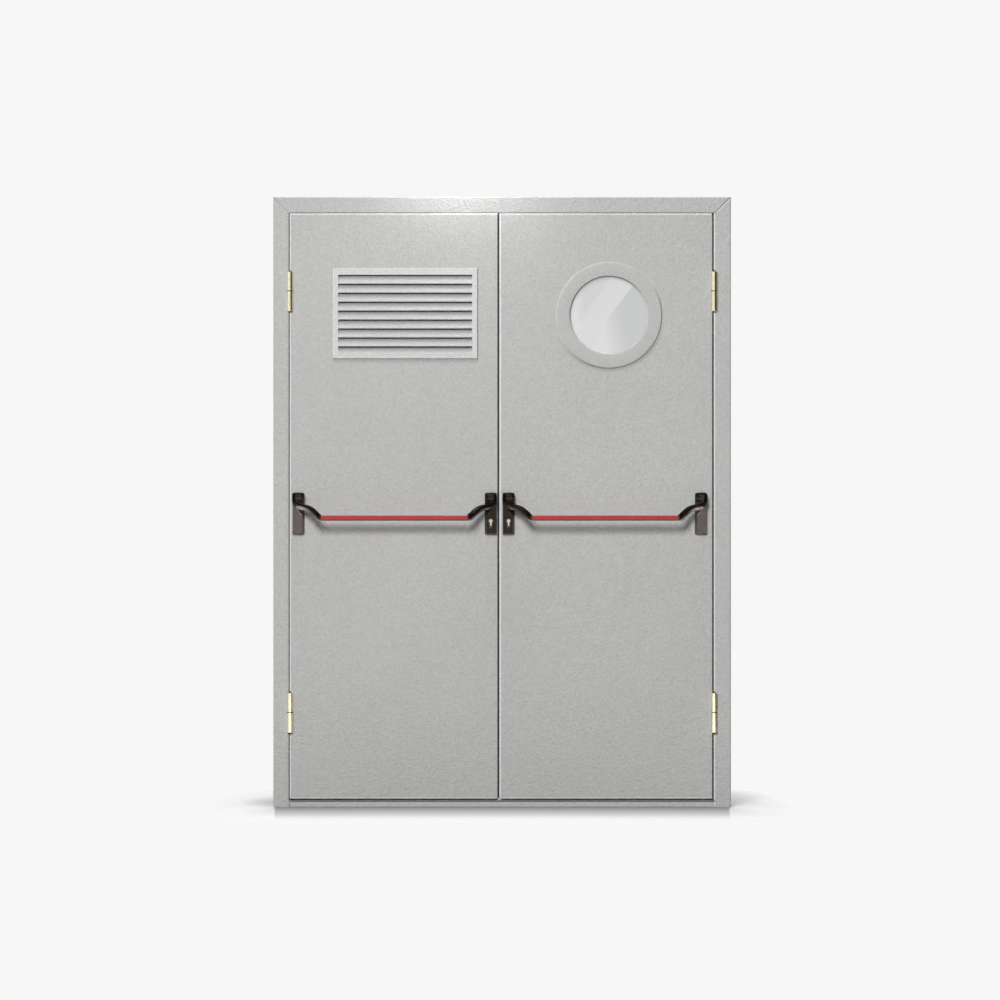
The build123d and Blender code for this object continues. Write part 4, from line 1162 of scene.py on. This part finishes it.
def add_back_screws():
    """Screws round the back grille frame, the back ring and the two rosettes."""
    low, high = box_mm("grille_back_frame")
    (x1, _, z1), (x2, _, z2) = low + GRILLE_SCREWS_IN, high - GRILLE_SCREWS_IN
    places = [(x, z) for x in (x1, (x1 + x2) / 2, x2) for z in (z1, z2)]
    add_piece("back_grille_screws", screw_heads(places, high[1]), "steel", "left_leaf")
    low, high = box_mm("window_back_ring")
    middle, reach = (low + high) / 2, (high[0] - low[0]) / 2 - RING_SCREWS_IN
    turns = [2 * math.pi * (i + 0.5) / RING_SCREWS for i in range(RING_SCREWS)]
    places = [(middle[0] + reach * math.cos(t), middle[2] + reach * math.sin(t)) for t in turns]
    add_piece("back_ring_screws", screw_heads(places, high[1]), "steel", "right_leaf")
    for side in ("left", "right"):
        low, high = box_mm(f"{side}_cylinder_rosette")
        heights = low[2] + ROSETTE_SCREWS_IN, high[2] - ROSETTE_SCREWS_IN
        heads = screw_heads([((low[0] + high[0]) / 2, z) for z in heights], high[1])
        add_piece(f"{side}_rosette_screws", heads, "steel", f"{side}_leaf")


# Window rings, turned about the window's axis

RING_BEVEL = 2.4
RING_STEPS = 256
RING_FACE = 45.0
RING_INNER_ROUND = 1.5
COLLAR_WALL = 2.5


def add_window_rings():
    """Front and back ring: flat face, bevelled outer edge, rounded inner edge and a collar to the seal."""
    low, high = box_mm("window_front_ring")
    glass_low, glass_high = box_mm("window_glass")
    middle, front, end = (glass_low[1] + glass_high[1]) / 2, low[1], high[1]
    centre = ((low[0] + high[0]) / 2, 0, (low[2] + high[2]) / 2)
    outer = (high[0] - low[0]) / 2
    sight, soft = outer - RING_FACE, RING_INNER_ROUND
    inner_round = [(sight + soft - soft * math.cos(a), front + soft - soft * math.sin(a))
                   for a in np.linspace(0, math.pi / 2, 6)]
    bevel = [(outer - RING_BEVEL - 0.6, front), (outer - RING_BEVEL, front + 0.1), (outer - 0.3, front + 1.7),
             (outer, front + 2.0), (outer, FACE), (outer - 3, FACE + 0.4)]
    back = [(sight + COLLAR_WALL, FACE + 0.4), (sight + COLLAR_WALL, end), (sight, end)]
    outline = inner_round + bevel + back
    outer_bead = [(-1.0, FACE + 0.3), (-1.0, front + 1.6), (0.5, front + 1.5), (2.4, FACE - 0.5),
                  (3.0, FACE + 0.3)]
    inner_bead = [(0.5, front + 1.5), (-0.8, front + 1.2), (-4.4, front + 3.4), (-4.4, front + 6.0),
                  (0.5, front + 6.0)]
    for name, edge, bead in (("outer", outer, outer_bead), ("inner", sight, inner_bead)):
        line = [(edge + radius, y) for radius, y in bead]
        shape = loop_shell(turned(line, centre, 1, RING_STEPS))
        add_piece(f"ring_{name}_bead", [shape], f"{name}_bead", "right_leaf")
    for name, line in (("front", outline), ("back", [(radius, 2 * middle - y) for radius, y in outline])):
        shape = loop_shell(turned(line, centre, 1, RING_STEPS))
        ring = add_piece(f"turned_{name}_ring", [shape], "paint", "right_leaf")
        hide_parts(f"window_{name}_ring")


# Key cylinders: a collar round the profile and the plug with its keyway. Each profile is the round's
# radius, the slot's half width and its drop

KEY_RADIUS = 8.5
KEY_PROFILE = (KEY_RADIUS, 5.0, 24.5)
KEY_SIGHT = (5.9, 2.6, 16.5)
COLLAR_OUTSIDE = 1.4
PLUG_RADIUS = 5.3
PLUG_STEPS = 72
PLUG_RINGS = 22
PLUG_ROUND = 0.3
KEYWAY = (0.95, 4.1, 1.2)  # half width, half height and depth
KEY_PROUD = 0.5
PLUG_PROUD = 0.3


def key_outline(radius, half, drop, offset, count=24):
    """A keyhole's outline grown by an offset: a circle's arc, then the slot's sides and round end."""
    end_middle = half - drop
    radius, half = radius + offset, half + offset
    neck = math.asin(half / radius)
    arc = np.linspace(-math.pi / 2 + neck, 1.5 * math.pi - neck, 2 * count)
    end = np.linspace(math.pi, 2 * math.pi, count)
    side = np.linspace((-half, -radius * math.cos(neck)), (-half, end_middle), 8)[1:-1]
    return np.concatenate([
        np.stack([radius * np.cos(arc), radius * np.sin(arc)], -1), side,
        np.stack([half * np.cos(end), end_middle + half * np.sin(end)], -1), side[::-1] * (-1, 1),
    ])


def key_collar(x, z, y_root, y_top):
    """A low, rounded loop from round the cylinder's own outline to the smaller keyhole in sight."""
    out = math.copysign(1.0, y_top - y_root)
    around = [(KEY_PROFILE, COLLAR_OUTSIDE, y_root), (KEY_PROFILE, COLLAR_OUTSIDE, y_top - 0.5 * out),
              (KEY_PROFILE, COLLAR_OUTSIDE - 0.6, y_top), (KEY_SIGHT, 0.5, y_top),
              (KEY_SIGHT, 0.0, y_top - 0.4 * out), (KEY_SIGHT, 0.0, y_root)]
    rings = [np.insert(key_outline(*profile, offset) + (x, z), 1, y, 1) for profile, offset, y in around]
    return loop_shell(np.stack(rings))


def key_plug(x, z, y_root, y_top):
    """A round plug with a keyway pressed in: points near the middle line go back by a smooth step."""
    out = math.copysign(1.0, y_top - y_root)
    flat = np.linspace(NEAR_AXIS, PLUG_RADIUS - PLUG_ROUND, PLUG_RINGS)
    radius = np.concatenate([flat, [PLUG_RADIUS, PLUG_RADIUS]])
    height = np.concatenate([np.full(PLUG_RINGS, y_top), [y_top - PLUG_ROUND * out, y_root]])
    angle = 2 * math.pi * np.arange(PLUG_STEPS) / PLUG_STEPS
    dx, dz = radius[:, None] * np.cos(angle), radius[:, None] * np.sin(angle)
    half, high, deep = KEYWAY
    inside = (1 - np.clip(np.abs(dx) / half, 0, 1) ** 6) * (np.abs(dz) < high)
    y = np.repeat(height[:, None], PLUG_STEPS, 1) - out * deep * inside
    return np.stack([x + dx, y, z + dz], -1)


def add_keys():
    for side in ("left", "right"):
        low, high = box_mm(f"{side}_key_cylinder")
        _, rosette_high = box_mm(f"{side}_cylinder_rosette")
        x, z = (low[0] + high[0]) / 2, high[2] - KEY_RADIUS
        body = f"{side}_leaf"
        front = key_collar(x, z, FACE - COVER_DEPTH + KEY_PROUD, low[1] - KEY_PROUD)
        add_piece(f"{side}_key_collar", [front], "latch", body)
        back = key_collar(x, z, rosette_high[1] - KEY_PROUD, high[1] + KEY_PROUD)
        add_piece(f"{side}_back_key_collar", [back], "steel", body)
        plugs = [key_plug(x, z, low[1] + KEY_PROUD, low[1] - PLUG_PROUD),
                 key_plug(x, z, high[1] - KEY_PROUD, high[1] + PLUG_PROUD)]
        add_piece(f"{side}_key_plugs", plugs, "key", body)


# Stage


def add_lamp(name, place, aim, size, power, mirrored):
    """A soft rectangular lamp that the camera doesn't see."""
    data = bpy.data.lights.new(name, "AREA")
    data.shape = "RECTANGLE"
    data.size, data.size_y = size
    data.energy = power
    lamp = bpy.data.objects.new(name, data)
    bpy.context.scene.collection.objects.link(lamp)
    lamp.location = place
    lamp.rotation_euler = (Vector(aim) - Vector(place)).to_track_quat("-Z", "Y").to_euler()
    lamp.visible_camera = False
    lamp.visible_glossy = mirrored
    return lamp


def seen_directly(tree):
    """1 for rays from the camera, off gloss and through glass, 0 for soft light."""
    path = tree.nodes.new("ShaderNodeLightPath").outputs
    return most(tree, path["Is Camera Ray"], path["Is Glossy Ray"], path["Is Transmission Ray"])


def mixed(tree, field, first, second):
    """The first shader where the field is 0 and the second where it is 1."""
    return made(tree, "ShaderNodeMixShader", {0: field, 1: first, 2: second})


def make_world():
    """A pale studio: near white where it is seen, and a softer dome where it lights the door."""
    world = bpy.data.worlds.new("pale_studio")
    world.use_nodes = True
    bpy.context.scene.world = world
    tree = world.node_tree
    tree.nodes.clear()
    seen = made(tree, "ShaderNodeBackground", {"Color": (BACKGROUND,) * 3})
    dome = made(tree, "ShaderNodeBackground", {"Color": (1.0,) * 3, "Strength": DOME_STRENGTH})
    out = tree.nodes.new("ShaderNodeOutputWorld")
    tree.links.new(mixed(tree, seen_directly(tree), dome, seen), out.inputs["Surface"])


def foot_shade(tree, across, aside, depth):
    """Painted shadow at the foot: a ramp before the threshold and an ellipse beside each jamb."""
    low, reach = FRONT_SHADE
    soft, thin = SHADE_EDGE
    ahead = between(tree, depth, 1.0, low, LEAF_FRONT_Y - reach, LEAF_FRONT_Y)
    narrowed = minus(tree, aside, product(tree, depth, FRONT_TAPER))
    front = most(tree, ahead, rise(tree, narrowed, DOOR_SIDE - soft, DOOR_SIDE))
    reach_x, middle, reach_y = SIDE_REACH
    x = rise(tree, aside, DOOR_SIDE, DOOR_SIDE + reach_x)
    y = product(tree, minus(tree, depth, middle), 1 / reach_y)
    strength = between(tree, across, *SIDE_SHADE, -DOOR_SIDE, DOOR_SIDE)
    side = minus(tree, 1.0, product(tree, strength, fall(tree, length_of(tree, x, y), 0.0, 1.0)))
    return product(tree, front, most(tree, side, fall(tree, aside, DOOR_SIDE - thin, DOOR_SIDE + thin)))


def floor_material():
    """Pale floor that keeps the door's shadow, adds a painted shadow at its foot and fades into the
    background away from it.
    """
    material, tree, shader = start_material("studio_floor")
    across, depth, _ = axes(tree)
    aside = apart(tree, across, 0.0)
    tone = blend(tree, seen_directly(tree), (FLOOR_BOUNCE,) * 3, (FLOOR_SEEN,) * 3)
    shaded = scaled(tree, tone, foot_shade(tree, across, aside, depth))
    set_shader(tree, shader, Base_Color=shaded, Roughness=1.0, Specular_IOR_Level=0.0)
    reach_x, reach_front, reach_back = FLOOR_NEAR
    x = rise(tree, aside, DOOR_SIDE, DOOR_SIDE + reach_x)
    y = most(tree, fall(tree, depth, -reach_front, LEAF_FRONT_Y),
             rise(tree, depth, -LEAF_FRONT_Y, reach_back))
    far = rise(tree, length_of(tree, x, y), FLOOR_EDGE, 1.0)
    path = tree.nodes.new("ShaderNodeLightPath")
    clear = made(tree, "ShaderNodeBsdfTransparent", {})
    faded = mixed(tree, product(tree, far, path.outputs["Is Camera Ray"]), shader.outputs[0], clear)
    tree.links.new(faded, tree.nodes["Material Output"].inputs["Surface"])
    return material


def stage_sheet(name, corners, material):
    mesh = bpy.data.meshes.new(name)
    mesh.from_pydata(corners, [], [(0, 1, 2, 3)])
    mesh.materials.append(material)
    sheet = bpy.data.objects.new(name, mesh)
    bpy.context.scene.collection.objects.link(sheet)
    return sheet


def level_corners(x, y1, y2, z):
    return [(-x, y1, z), (x, y1, z), (x, y2, z), (-x, y2, z)]


def card_material(name, colour=(0.0, 0.0, 0.0), glow=((1.0, 1.0, 1.0), 0.0), **values):
    material, tree, shader = start_material(name)
    set_shader(tree, shader, Base_Color=colour, Emission_Color=glow[0], Emission_Strength=glow[1], **values)
    return material


def make_cards():
    """Dark cards above and at the right, and a white one low in front, that only metal and gloss mirror."""
    x, y1, y2, z = CARD_ASIDE, -CARD_FRONT, CARD_BACK, CARD_HEIGHT
    half, near, far, height = LOW_CARD
    dark = card_material("dark_card", (CARD_BLACK,) * 3, Roughness=1.0, Specular_IOR_Level=0.0)
    cards = [
        ("card_above", level_corners(2 * x, y1, y2, z), dark),
        ("card_at_right", [(x, y1, 0.0), (x, y2, 0.0), (x, y2, z), (x, y1, z)],
         card_material("brown_card", glow=BROWN_CARD_GLOW)),
        ("low_card", level_corners(half, -far, -near, height),
         card_material("low_white_card", glow=LOW_CARD_GLOW)),
    ]
    for name, corners, material in cards:
        card = stage_sheet(name, corners, material)
        card.visible_camera = card.visible_diffuse = card.visible_shadow = card.visible_transmission = False


def make_camera():
    """Square on to the leaves, far enough back for the photograph's flat view."""
    data = bpy.data.cameras.new("camera")
    data.lens = CAMERA_LENS
    data.sensor_width = CAMERA_SENSOR
    distance = PHOTO_MM_PER_PIXEL * PHOTO_PIXELS * MM * CAMERA_LENS / CAMERA_SENSOR
    data.clip_end = 4 * distance
    camera = bpy.data.objects.new("camera", data)
    camera.location = (CAMERA_X, LEAF_FRONT_Y - distance, CAMERA_Z)
    camera.rotation_euler = (math.pi / 2, 0.0, 0.0)
    bpy.context.scene.collection.objects.link(camera)
    bpy.context.scene.camera = camera


def make_stage():
    make_world()
    half = FLOOR_HALF_SIZE
    stage_sheet("studio_floor", level_corners(half, -half, half, -FLOOR_CLEAR), floor_material())
    make_cards()
    lamps = {name: add_lamp(name, *words) for name, *words in LAMPS}
    lamps["back_lamp"].data.spread = math.radians(BACK_SPREAD)
    lamps["back_lamp"].visible_transmission = False
    make_camera()
    bpy.context.scene.view_settings.view_transform = "Standard"


make_stage()
dress_nodes()
add_covers()
add_levers()
add_lips()
add_mitre_joints()
add_strips()
add_sweeps()
add_hinge_shade_washers()
add_back_screws()
add_window_rings()
add_keys()
